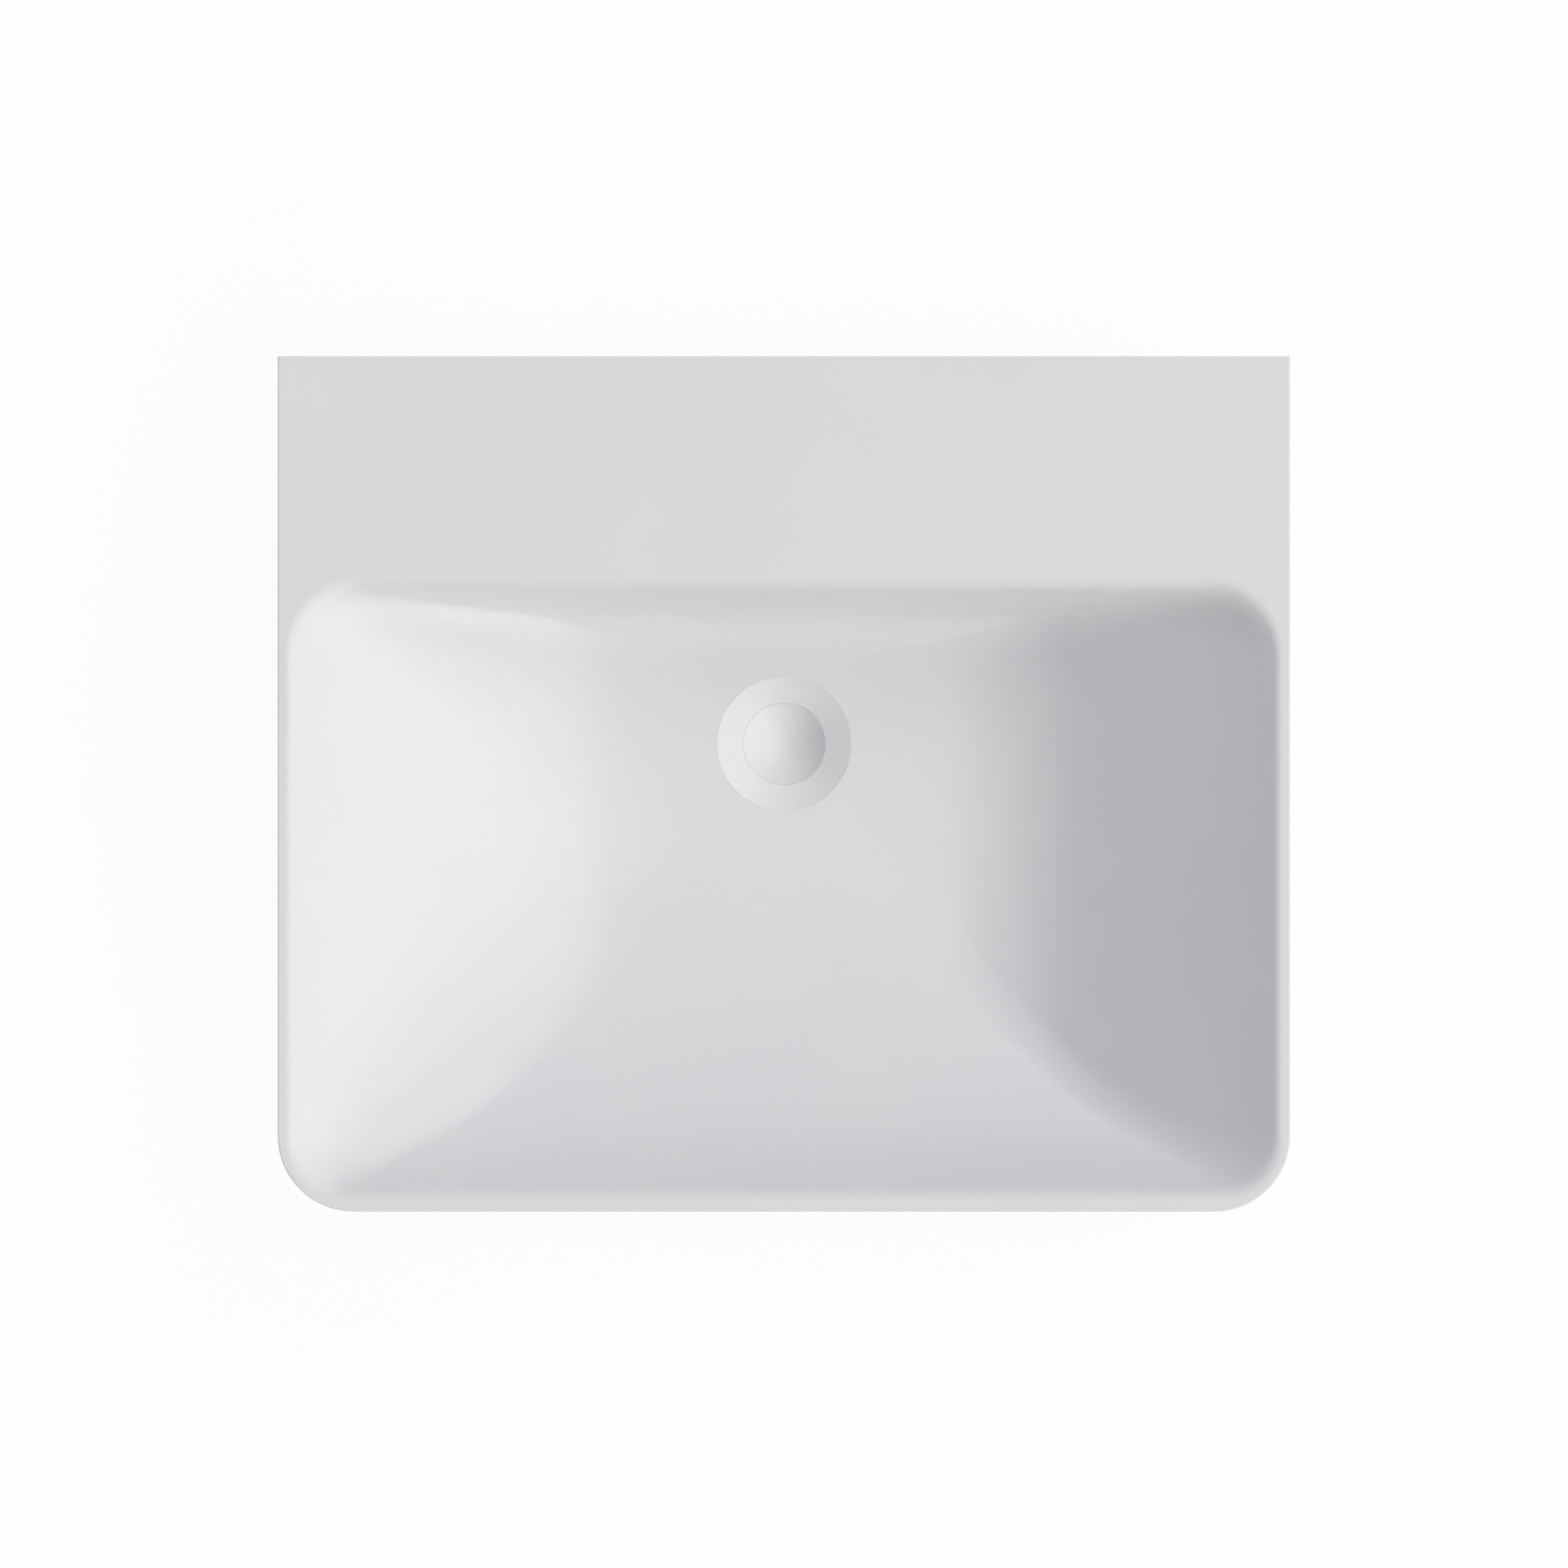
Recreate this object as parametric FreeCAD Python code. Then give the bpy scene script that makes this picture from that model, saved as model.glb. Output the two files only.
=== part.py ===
import FreeCAD, Part
import math
import os
from FreeCAD import Vector

# Wall-backed vanity basin in white ceramic, with a dished push-open waste in its floor.
# Millimetres. The origin is midway between the two wall fixings, on the back face.
# X runs along the wall, -Y out to the front edge, Z up.

# Overall form of the basin. Its foot stands FOOT_DROP below the bowl's floor.
BASIN_WIDTH = 600.0
BASIN_DEPTH = 507.0
FOOT_DROP = 42.5
FRONT_CORNER_RADIUS = 45.0
TOP_EDGE_RADIUS = 0.8
BASE_EDGE_RADIUS = 1.5

# Wall fixings, and the rim's height above them
FIXING_SPACING = 280.0
FIXING_DROP = 65.0
FIXING_HOLE_RADIUS = 8.0

# Bowl outline at the rim: how far its edge stands in from the basin's outside
SIDE_RIM = 7.2
FRONT_RIM = 11.4
DECK_DEPTH = 137.7
REAR_RIM_CORNER_RADIUS = 45.0
FRONT_RIM_CORNER_RADIUS = 34.0
RIM_ROUND_RADIUS = 10.0

# Bowl section: each wall falls straight, sweeps round and runs out on a gentle fall to the waste.
# The valleys between the walls narrow from the rim's corners down to their own radius.
BOWL_DEPTH = 92.5
SIDE_WALL_ANGLE = 30.0
FRONT_WALL_ANGLE = 54.0
REAR_WALL_ANGLE = 80.0
SIDE_SWEEP_RADIUS = 165.0
FRONT_SWEEP_RADIUS = 150.0
REAR_SWEEP_RADIUS = 29.0
FLOOR_FALL_ANGLE = 2.0
VALLEY_RADIUS = 18.0
VALLEY_DEPTH = 45.0
CONTOUR_COUNT = 20
corner_limit_share = 0.95

# Ceramic thicknesses. Round the waste the bowl's underside is a level pad, thinner by its rise.
BOWL_WALL = 12.0
PAD_RISE = 2.0
APRON_WALL = 12.0
BACK_WALL = 18.0
DECK_WALL = 16.0
WEB_WALL = 12.0
WEB_SPACING = 400.0
WEB_FOOT_RISE = 34.0

# Waste position and the boss that it clamps to. Drops are measured down from the floor round the flange.
WASTE_SETBACK = 229.0
BOSS_RADIUS = 44.0
BOSS_FLARE = 9.0
BOSS_DROP = 38.0
SEAT_CLEARANCE = 0.3

# Dished flange with a throat, a coned plug seat and a threaded neck
FLANGE_RADIUS = 41.0
FLANGE_DISH = 6.0
FLANGE_EDGE = 2.6
THROAT_RADIUS = 25.1
THROAT_DEPTH = 6.0
SEAT_CONE_ANGLE = 45.0
FLANGE_WALL = 3.0
NECK_WALL = 1.7
NECK_GAP = 0.4
SHOULDER_DEPTH = 1.6
FLANGE_GASKET_THICKNESS = 1.5
FLANGE_GASKET_MARGIN = 1.0
TUBE_WASHER_THICKNESS = 1.0

# Threaded waste tube with its spider
TUBE_RADIUS = 20.955
TUBE_BORE_RADIUS = 18.0
OUTLET_LENGTH = 36.0
RELIEF_SETBACK = 2.5
RELIEF_WIDTH = 3.0
RELIEF_DEPTH = 1.7
TUBE_END_CHAMFER = 1.0
HUB_HEIGHT = 10.0
HUB_WALL = 2.5
SPOKE_COUNT = 3
SPOKE_WIDTH = 3.0
SPOKE_HEIGHT = 8.0

# Clamp under the boss
LOWER_GASKET_RADIUS = 30.0
LOWER_GASKET_HEIGHT = 7.0
LOWER_GASKET_NOSE = 1.6
SLIP_WASHER_THICKNESS = 1.5
BACKNUT_ACROSS_FLATS = 54.0
BACKNUT_HEIGHT = 12.0
BACKNUT_SKIRT_HEIGHT = 3.0
BACKNUT_SKIRT_RADIUS = 30.0

# Push cartridge that holds the plug down or lets it up
CARTRIDGE_RADIUS = 8.95
CARTRIDGE_BORE_RADIUS = 6.6
CARTRIDGE_COLLAR_HEIGHT = 2.0
CARTRIDGE_COLLAR_WIDTH = 2.3
CARTRIDGE_ROOF = 4.0
COLLAR_WASHER_THICKNESS = 1.0
RIB_COUNT = 4
RIB_WIDTH = 2.0
RIB_DEPTH = 1.3
RIB_RAMP_ANGLE = 30.0
RIB_END_GAP = 0.5
END_CAP_PLUG = 4.0
END_CAP_FLANGE = 2.5

# Moving stack: spindle, index rotor and spring
PLUG_LIFT = 9.0
OVERPRESS = 1.5
PLUNGER_HEADROOM = 2.0
SPINDLE_RADIUS = 3.95
PLUNGER_HEIGHT = 6.0
PIN_RADIUS = 2.5
PIN_LENGTH = 13.0
ROTOR_RADIUS = 5.0
ROTOR_HEIGHT = 9.0
ROTOR_FIN_LENGTH = 6.0
SPRING_LENGTH = 9.9
SPRING_WIRE = 1.1
SPRING_MEAN_RADIUS = 4.6
SPRING_TURNS = 4.5
ARCS_PER_TURN = 4
WIRE_SIDES = 8

# Plug: a dished ceramic cap bonded to a threaded carrier, with a tapered seal
CAP_GAP = 0.2
CAP_SINK = 0.5
CAP_LIP = 0.2
CAP_DISH_RADIUS = 32.0
CAP_WALL = 3.0
CARRIER_RADIUS = 16.5
CARRIER_PLATE = 1.6
CARRIER_LIP = 0.7
CARRIER_LIP_HEIGHT = 3.4
CARRIER_BOSS_RADIUS = 7.5
CARRIER_BOSS_LENGTH = 7.0
SPINDLE_SOCKET_DEPTH = 6.8
SEAL_WIDTH = 5.5
SEAL_GAP = 0.2
LOCK_NUT_ACROSS_FLATS = 13.0
LOCK_NUT_HEIGHT = 4.5

# Collared bushes in the wall fixings
BUSH_BORE_RADIUS = 5.25
BUSH_COLLAR_RADIUS = 13.0
BUSH_COLLAR_HEIGHT = 3.0

# Shared clearances
THREAD_CLEARANCE = 0.1
RUNNING_CLEARANCE = 0.3
SEATED_GAP = 0.05
OVERRUN = 2.0

# Places that follow from the sizes above
BASIN_HEIGHT = BOWL_DEPTH + FOOT_DROP
RIM_Z = FIXING_DROP
BASE_Z = RIM_Z - BASIN_HEIGHT
FLOOR_Z = RIM_Z - BOWL_DEPTH
WASTE_Y = -WASTE_SETBACK
DISH_SLOPE = FLANGE_DISH / (FLANGE_RADIUS - THROAT_RADIUS)
THROAT_DROP = FLANGE_DISH + THROAT_DEPTH
SEAT_SLOPE = math.tan(math.radians(SEAT_CONE_ANGLE))
SEAT_END_DROP = THROAT_DROP + (THROAT_RADIUS - TUBE_BORE_RADIUS) * SEAT_SLOPE
SHOULDER_DROP = SEAT_END_DROP + SHOULDER_DEPTH
TUBE_TOP_DROP = SHOULDER_DROP + TUBE_WASHER_THICKNESS
NECK_DROP = BOSS_DROP - LOWER_GASKET_NOSE - NECK_GAP
NECK_BORE_RADIUS = TUBE_RADIUS + THREAD_CLEARANCE
NECK_RADIUS = NECK_BORE_RADIUS + NECK_WALL
BASIN_HOLE_RADIUS = NECK_RADIUS + SEAT_CLEARANCE
SLIP_WASHER_DROP = BOSS_DROP + LOWER_GASKET_HEIGHT
BACKNUT_DROP = SLIP_WASHER_DROP + SLIP_WASHER_THICKNESS
RELIEF_DROP = BACKNUT_DROP + BACKNUT_HEIGHT + RELIEF_SETBACK
TUBE_END_DROP = RELIEF_DROP + RELIEF_WIDTH + OUTLET_LENGTH
CAP_RADIUS = THROAT_RADIUS - CAP_GAP
DISH_EDGE_RADIUS = CAP_RADIUS - CAP_LIP
CAP_DROP = FLANGE_DISH + CAP_SINK
DISH_CENTRE_DROP = CAP_DROP - math.sqrt(CAP_DISH_RADIUS ** 2 - DISH_EDGE_RADIUS ** 2)
CARRIER_DROP = DISH_CENTRE_DROP + CAP_DISH_RADIUS + CAP_WALL + CARRIER_PLATE
CARRIER_BOSS_DROP = CARRIER_DROP + CARRIER_BOSS_LENGTH
CARTRIDGE_DROP = CARRIER_BOSS_DROP + LOCK_NUT_HEIGHT + OVERPRESS
CARTRIDGE_BORE_DROP = CARTRIDGE_DROP + CARTRIDGE_ROOF
COLLAR_END_DROP = CARTRIDGE_DROP + CARTRIDGE_COLLAR_HEIGHT
HUB_DROP = COLLAR_END_DROP + COLLAR_WASHER_THICKNESS
PLUNGER_DROP = CARTRIDGE_BORE_DROP + PLUG_LIFT + PLUNGER_HEADROOM
ROTOR_DROP = PLUNGER_DROP + PLUNGER_HEIGHT + SEATED_GAP
SPRING_DROP = ROTOR_DROP + ROTOR_HEIGHT
END_CAP_DROP = SPRING_DROP + SPRING_LENGTH
CARTRIDGE_END_DROP = END_CAP_DROP + END_CAP_PLUG
SPINDLE_BORE_RADIUS = SPINDLE_RADIUS + RUNNING_CLEARANCE
HUB_BORE_RADIUS = CARTRIDGE_RADIUS + THREAD_CLEARANCE


# Bowl profile

class WallProfile:
    """One wall of the bowl in section: how far in from the rim the wall stands at a given depth."""

    def __init__(self, wall_angle, sweep_radius, run):
        self.wall = math.radians(wall_angle)
        self.fall = math.radians(FLOOR_FALL_ANGLE)
        self.sweep = sweep_radius
        self.run = run
        wall_side = sweep_radius
        floor_side = sweep_radius + run * math.sin(self.fall) - BOWL_DEPTH * math.cos(self.fall)
        spread = math.sin(self.wall - self.fall)
        self.centre_in = (floor_side * math.cos(self.wall) - wall_side * math.cos(self.fall)) / -spread
        self.centre_depth = (floor_side * math.sin(self.wall) - wall_side * math.sin(self.fall)) / -spread

    def inset(self, depth, skin):
        """Distance in from the rim at this depth, on the surface that lies skin outside the bowl's own."""
        radius = self.sweep + skin
        sweep_start = self.centre_depth + radius * math.cos(self.wall)
        sweep_end = self.centre_depth + radius * math.cos(self.fall)
        if depth <= sweep_start:
            return (depth * math.cos(self.wall) - skin) / math.sin(self.wall)
        if depth <= sweep_end:
            return self.centre_in - math.sqrt(radius ** 2 - (depth - self.centre_depth) ** 2)
        return self.run + ((depth - BOWL_DEPTH) * math.cos(self.fall) - skin) / math.sin(self.fall)


THROAT_DEEP = BOWL_DEPTH + (FLANGE_RADIUS - THROAT_RADIUS) * math.tan(math.radians(FLOOR_FALL_ANGLE))
PAD_DEEP = BOWL_DEPTH + BOWL_WALL - PAD_RISE
SIDE_RUN = BASIN_WIDTH / 2 - SIDE_RIM - FLANGE_RADIUS
FRONT_RUN = BASIN_DEPTH - FRONT_RIM - WASTE_SETBACK - FLANGE_RADIUS
REAR_RUN = WASTE_SETBACK - FLANGE_RADIUS - DECK_DEPTH
SIDE_WALL = WallProfile(SIDE_WALL_ANGLE, SIDE_SWEEP_RADIUS, SIDE_RUN)
FRONT_WALL = WallProfile(FRONT_WALL_ANGLE, FRONT_SWEEP_RADIUS, FRONT_RUN)
REAR_WALL = WallProfile(REAR_WALL_ANGLE, REAR_SWEEP_RADIUS, REAR_RUN)


def rounded_outline(half_width, front_y, rear_y, front_radius, rear_radius, z):
    """Closed wire of a rectangle symmetrical about X = 0, with round front and rear corners."""
    corners = [
        (half_width, front_y, -1, 1, front_radius),
        (half_width, rear_y, -1, -1, rear_radius),
        (-half_width, rear_y, 1, -1, rear_radius),
        (-half_width, front_y, 1, 1, front_radius),
    ]
    diagonal = 1 - math.sqrt(0.5)
    arcs = []
    for turn, (x, y, inward_x, inward_y, radius) in enumerate(corners):
        side_end = Vector(x, y + inward_y * radius, z)
        end_end = Vector(x + inward_x * radius, y, z)
        middle = Vector(x + inward_x * radius * diagonal, y + inward_y * radius * diagonal, z)
        first, last = (end_end, side_end) if turn % 2 == 0 else (side_end, end_end)
        arcs.append(Part.Arc(first, middle, last))
    edges = []
    for arc, following in zip(arcs, arcs[1:] + arcs[:1]):
        edges.append(arc.toShape())
        edges.append(Part.LineSegment(arc.EndPoint, following.StartPoint).toShape())
    return Part.Wire(edges)


def bowl_contour(depth, skin):
    """Level outline of the bowl's surface, or of the surface that lies skin outside it, at this depth."""
    narrowing = max(0, 1 - max(depth, 0) / VALLEY_DEPTH) ** 2
    front_radius = VALLEY_RADIUS + (FRONT_RIM_CORNER_RADIUS - VALLEY_RADIUS) * narrowing
    rear_radius = VALLEY_RADIUS + (REAR_RIM_CORNER_RADIUS - VALLEY_RADIUS) * narrowing
    half_width = BASIN_WIDTH / 2 - SIDE_RIM - SIDE_WALL.inset(depth, skin)
    front_y = FRONT_RIM - BASIN_DEPTH + FRONT_WALL.inset(depth, skin)
    rear_y = -DECK_DEPTH - REAR_WALL.inset(depth, skin)
    widest_radius = corner_limit_share * min(half_width, (rear_y - front_y) / 2)
    return rounded_outline(
        half_width,
        front_y,
        rear_y,
        min(front_radius + skin, widest_radius),
        min(rear_radius + skin, widest_radius),
        RIM_Z - depth,
    )


def bowl_solid(skin, floor):
    """Solid inside the bowl's surface, or inside its underside, from above the rim down to a floor."""
    contours = [bowl_contour(-OVERRUN, skin)]
    for step in range(CONTOUR_COUNT + 1):
        share = math.sin(math.pi / 2 * step / CONTOUR_COUNT)
        contours.append(bowl_contour(floor * share, skin))
    return Part.makeLoft(contours, True, False)


# Shapes turned or drawn about the waste's axis

def waste_point(radius, drop):
    """Point of a turned section, by its radius and its drop below the floor."""
    return Vector(radius, WASTE_Y, FLOOR_Z - drop)


def turned(points):
    """Solid turned about the waste's axis from a section of straight sides."""
    section = [waste_point(radius, drop) for radius, drop in points]
    wire = Part.makePolygon(section + section[:1])
    return turned_wire(wire)


def turned_wire(wire):
    return Part.Face(wire).revolve(Vector(0, WASTE_Y, 0), Vector(0, 0, 1), 360)


def ring(inner, outer, top_drop, bottom_drop):
    """Plain tube or washer about the waste's axis."""
    return turned([(inner, top_drop), (outer, top_drop), (outer, bottom_drop), (inner, bottom_drop)])


def disc(radius, top_drop, bottom_drop):
    """Plain cylinder about the waste's axis."""
    foot = Vector(0, WASTE_Y, FLOOR_Z - bottom_drop)
    return Part.makeCylinder(radius, bottom_drop - top_drop, foot)


def hexagon(across_flats, top_drop, bottom_drop):
    """Hexagonal bar about the waste's axis, with its corners chamfered top and bottom."""
    corner_radius = across_flats / math.sqrt(3)
    corners = []
    for index in range(7):
        angle = math.radians(60 * index)
        corners.append(Vector(corner_radius * math.cos(angle), corner_radius * math.sin(angle), 0))
    bar = Part.Face(Part.makePolygon(corners)).extrude(Vector(0, 0, bottom_drop - top_drop))
    bar.translate(Vector(0, WASTE_Y, FLOOR_Z - bottom_drop))
    chamfer = (corner_radius - across_flats / 2) * math.tan(math.radians(30))
    cone = turned([
        (0, top_drop),
        (across_flats / 2, top_drop),
        (corner_radius, top_drop + chamfer),
        (corner_radius, bottom_drop - chamfer),
        (across_flats / 2, bottom_drop),
        (0, bottom_drop),
    ])
    return bar.common(cone)


def bar_out(width, inner, outer, top_drop, bottom_drop, angle):
    """Radial bar from one radius to another, turned to an angle about the waste's axis."""
    corner = Vector(inner, WASTE_Y - width / 2, FLOOR_Z - bottom_drop)
    bar = Part.makeBox(outer - inner, width, bottom_drop - top_drop, corner)
    bar.rotate(Vector(0, WASTE_Y, 0), Vector(0, 0, 1), angle)
    return bar


# Ceramic basin

def plan_block(inset, rear_inset, front_radius, bottom_z, top_z):
    """Upright block with the basin's plan, drawn in from its outside: square at the wall, round in front."""
    half = BASIN_WIDTH / 2 - inset
    front_y = inset - BASIN_DEPTH
    rear_y = -rear_inset
    diagonal = front_radius * (1 - math.sqrt(0.5))
    rear_right = Vector(half, rear_y, bottom_z)
    rear_left = Vector(-half, rear_y, bottom_z)
    left_end = Vector(-half, front_y + front_radius, bottom_z)
    right_end = Vector(half, front_y + front_radius, bottom_z)
    front_left = Vector(front_radius - half, front_y, bottom_z)
    front_right = Vector(half - front_radius, front_y, bottom_z)
    left_middle = Vector(diagonal - half, front_y + diagonal, bottom_z)
    right_middle = Vector(half - diagonal, front_y + diagonal, bottom_z)
    outline = Part.Wire([
        Part.LineSegment(rear_right, rear_left).toShape(),
        Part.LineSegment(rear_left, left_end).toShape(),
        Part.Arc(left_end, left_middle, front_left).toShape(),
        Part.LineSegment(front_left, front_right).toShape(),
        Part.Arc(front_right, right_middle, right_end).toShape(),
        Part.LineSegment(right_end, rear_right).toShape(),
    ])
    return Part.Face(outline).extrude(Vector(0, 0, top_z - bottom_z))


def flat_face_at(shape, z):
    """Largest level face of a shape at this height."""
    level = []
    for face in shape.Faces:
        box = face.BoundBox
        if abs(box.ZMin - z) < SEATED_GAP and abs(box.ZMax - z) < SEATED_GAP:
            level.append(face)
    return max(level, key=lambda face: face.BoundBox.DiagonalLength)


def open_edges(face):
    """Outer edges of a level face, without the one against the wall."""
    return [edge for edge in face.OuterWire.Edges if edge.BoundBox.YMin < -SEATED_GAP]


def waste_recess():
    """Space for the flange, its gasket and the neck, through the floor and the boss."""
    seat_top = FLANGE_EDGE + FLANGE_GASKET_THICKNESS
    recess_radius = FLANGE_RADIUS + SEAT_CLEARANCE
    throat_radius = THROAT_RADIUS + FLANGE_WALL + SEAT_CLEARANCE
    cone_end = seat_top + (FLANGE_RADIUS - throat_radius) * DISH_SLOPE
    slant_offset = FLANGE_WALL / math.cos(math.radians(SEAT_CONE_ANGLE)) + SEAT_CLEARANCE
    slant_top = THROAT_DROP - FLANGE_WALL * SEAT_SLOPE + slant_offset
    slant_end = slant_top + (throat_radius - SEAT_CLEARANCE - BASIN_HOLE_RADIUS) * SEAT_SLOPE
    return turned([
        (0, -OVERRUN),
        (recess_radius, -OVERRUN),
        (recess_radius, seat_top - SEAT_CLEARANCE * DISH_SLOPE),
        (throat_radius, cone_end),
        (throat_radius, slant_top),
        (BASIN_HOLE_RADIUS, slant_end),
        (BASIN_HOLE_RADIUS, BOSS_DROP + OVERRUN),
        (0, BOSS_DROP + OVERRUN),
    ])


def fixing_cylinder(x, radius, start_y, end_y):
    """Cylinder along Y on a wall fixing's axis."""
    return Part.makeCylinder(radius, end_y - start_y, Vector(x, start_y, 0), Vector(0, 1, 0))


def fixing_places():
    return [-FIXING_SPACING / 2, FIXING_SPACING / 2]


def basin_body():
    """Ceramic shell: apron, deck and bowl, open underneath, with two webs and a waste boss."""
    body = plan_block(0, 0, FRONT_CORNER_RADIUS, BASE_Z, RIM_Z)
    hollow = plan_block(
        APRON_WALL,
        BACK_WALL,
        FRONT_CORNER_RADIUS - APRON_WALL,
        BASE_Z - OVERRUN,
        RIM_Z - DECK_WALL,
    )
    hollow = hollow.cut(bowl_solid(BOWL_WALL, PAD_DEEP))
    for side in (-1, 1):
        web_depth = DECK_DEPTH - BACK_WALL
        corner = Vector(side * WEB_SPACING / 2 - WEB_WALL / 2, -BACK_WALL - web_depth, BASE_Z + WEB_FOOT_RISE)
        hollow = hollow.cut(Part.makeBox(WEB_WALL, web_depth, BASIN_HEIGHT, corner))
    boss_foot = Vector(0, WASTE_Y, FLOOR_Z - BOSS_DROP)
    hollow = hollow.cut(Part.makeCone(BOSS_RADIUS, BOSS_RADIUS + BOSS_FLARE, BOSS_DROP, boss_foot))
    body = body.cut(hollow).cut(bowl_solid(0, THROAT_DEEP))
    rim = flat_face_at(body, RIM_Z)
    rim_edges = [edge for wire in rim.Wires if not wire.isSame(rim.OuterWire) for edge in wire.Edges]
    body = body.makeFillet(RIM_ROUND_RADIUS, rim_edges)
    body = body.makeFillet(TOP_EDGE_RADIUS, open_edges(flat_face_at(body, RIM_Z)))
    body = body.makeFillet(BASE_EDGE_RADIUS, open_edges(flat_face_at(body, BASE_Z)))
    body = body.cut(waste_recess())
    for x in fixing_places():
        body = body.cut(fixing_cylinder(x, FIXING_HOLE_RADIUS, -BACK_WALL - OVERRUN, OVERRUN))
    return body


def wall_bushes():
    """Collared plastic bush in each wall fixing, flush with the back face."""
    bushes = []
    for x in fixing_places():
        sleeve = fixing_cylinder(x, FIXING_HOLE_RADIUS - THREAD_CLEARANCE, -BACK_WALL, 0)
        collar = fixing_cylinder(x, BUSH_COLLAR_RADIUS, -BACK_WALL - BUSH_COLLAR_HEIGHT, -BACK_WALL)
        bore = fixing_cylinder(x, BUSH_BORE_RADIUS, -BACK_WALL - BUSH_COLLAR_HEIGHT - OVERRUN, OVERRUN)
        bushes.append(sleeve.fuse(collar).removeSplitter().cut(bore))
    return Part.makeCompound(bushes)


# Waste, fixed pieces

def flange_under(radius):
    """Drop of the flange's underside at a radius."""
    return FLANGE_EDGE + (FLANGE_RADIUS - radius) * DISH_SLOPE


def waste_flange():
    """Dished flange, its throat and plug seat, and the neck that screws on the tube."""
    outer_throat = THROAT_RADIUS + FLANGE_WALL
    slant_offset = FLANGE_WALL / math.cos(math.radians(SEAT_CONE_ANGLE))
    slant_top = THROAT_DROP - FLANGE_WALL * SEAT_SLOPE + slant_offset
    slant_end = slant_top + (outer_throat - NECK_RADIUS) * SEAT_SLOPE
    return turned([
        (FLANGE_RADIUS, 0),
        (THROAT_RADIUS, FLANGE_DISH),
        (THROAT_RADIUS, THROAT_DROP),
        (TUBE_BORE_RADIUS, SEAT_END_DROP),
        (TUBE_BORE_RADIUS, SHOULDER_DROP),
        (NECK_BORE_RADIUS, SHOULDER_DROP),
        (NECK_BORE_RADIUS, NECK_DROP),
        (NECK_RADIUS, NECK_DROP),
        (NECK_RADIUS, slant_end),
        (outer_throat, slant_top),
        (outer_throat, flange_under(outer_throat)),
        (FLANGE_RADIUS, flange_under(FLANGE_RADIUS)),
    ])


def flange_gasket():
    """Coned rubber ring between the flange and the ceramic."""
    inner = THROAT_RADIUS + FLANGE_WALL + FLANGE_GASKET_MARGIN
    outer = FLANGE_RADIUS - FLANGE_GASKET_MARGIN
    return turned([
        (outer, flange_under(outer) + SEATED_GAP),
        (inner, flange_under(inner) + SEATED_GAP),
        (inner, flange_under(inner) + FLANGE_GASKET_THICKNESS - SEATED_GAP),
        (outer, flange_under(outer) + FLANGE_GASKET_THICKNESS - SEATED_GAP),
    ])


def tube_washer():
    """Fibre washer between the flange's shoulder and the top of the tube."""
    return ring(TUBE_BORE_RADIUS, TUBE_RADIUS, SHOULDER_DROP, TUBE_TOP_DROP)


def waste_tube():
    """Threaded tube with a relief below the backnut, and a spider that carries the cartridge."""
    relief_radius = TUBE_RADIUS - RELIEF_DEPTH
    tube = turned([
        (TUBE_BORE_RADIUS, TUBE_TOP_DROP),
        (TUBE_RADIUS, TUBE_TOP_DROP),
        (TUBE_RADIUS, RELIEF_DROP),
        (relief_radius, RELIEF_DROP),
        (relief_radius, RELIEF_DROP + RELIEF_WIDTH),
        (TUBE_RADIUS, RELIEF_DROP + RELIEF_WIDTH),
        (TUBE_RADIUS, TUBE_END_DROP - TUBE_END_CHAMFER),
        (TUBE_RADIUS - TUBE_END_CHAMFER, TUBE_END_DROP),
        (TUBE_BORE_RADIUS, TUBE_END_DROP),
    ])
    hub_radius = HUB_BORE_RADIUS + HUB_WALL
    tube_middle = (TUBE_BORE_RADIUS + TUBE_RADIUS) / 2
    hub_middle = (HUB_BORE_RADIUS + hub_radius) / 2
    spoke_top = HUB_DROP + (HUB_HEIGHT - SPOKE_HEIGHT) / 2
    pieces = [ring(HUB_BORE_RADIUS, hub_radius, HUB_DROP, HUB_DROP + HUB_HEIGHT)]
    for index in range(SPOKE_COUNT):
        angle = 360 * index / SPOKE_COUNT
        pieces.append(bar_out(
            SPOKE_WIDTH, hub_middle, tube_middle, spoke_top, spoke_top + SPOKE_HEIGHT, angle))
    return tube.multiFuse(pieces).removeSplitter()


def lower_gasket():
    """Rubber washer under the boss, with a nose that centres it in the hole."""
    inner = TUBE_RADIUS + THREAD_CLEARANCE
    nose_radius = BASIN_HOLE_RADIUS - THREAD_CLEARANCE
    nose_drop = BOSS_DROP - LOWER_GASKET_NOSE
    return turned([
        (inner, nose_drop),
        (nose_radius, nose_drop),
        (nose_radius, BOSS_DROP),
        (LOWER_GASKET_RADIUS, BOSS_DROP),
        (LOWER_GASKET_RADIUS, SLIP_WASHER_DROP),
        (inner, SLIP_WASHER_DROP),
    ])


def slip_washer():
    """Plastic washer that lets the backnut turn against the rubber."""
    return ring(TUBE_RADIUS + THREAD_CLEARANCE, LOWER_GASKET_RADIUS, SLIP_WASHER_DROP, BACKNUT_DROP)


def backnut():
    """Hexagonal nut with a round skirt that bears on the slip washer."""
    skirt_end = BACKNUT_DROP + BACKNUT_SKIRT_HEIGHT
    end = BACKNUT_DROP + BACKNUT_HEIGHT
    skirt = disc(BACKNUT_SKIRT_RADIUS, BACKNUT_DROP, skirt_end)
    nut = hexagon(BACKNUT_ACROSS_FLATS, skirt_end, end).fuse(skirt).removeSplitter()
    return nut.cut(disc(TUBE_RADIUS + THREAD_CLEARANCE, BACKNUT_DROP - OVERRUN, end + OVERRUN))


# Push cartridge

def rib_angle(index):
    return 360 * index / RIB_COUNT


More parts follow.
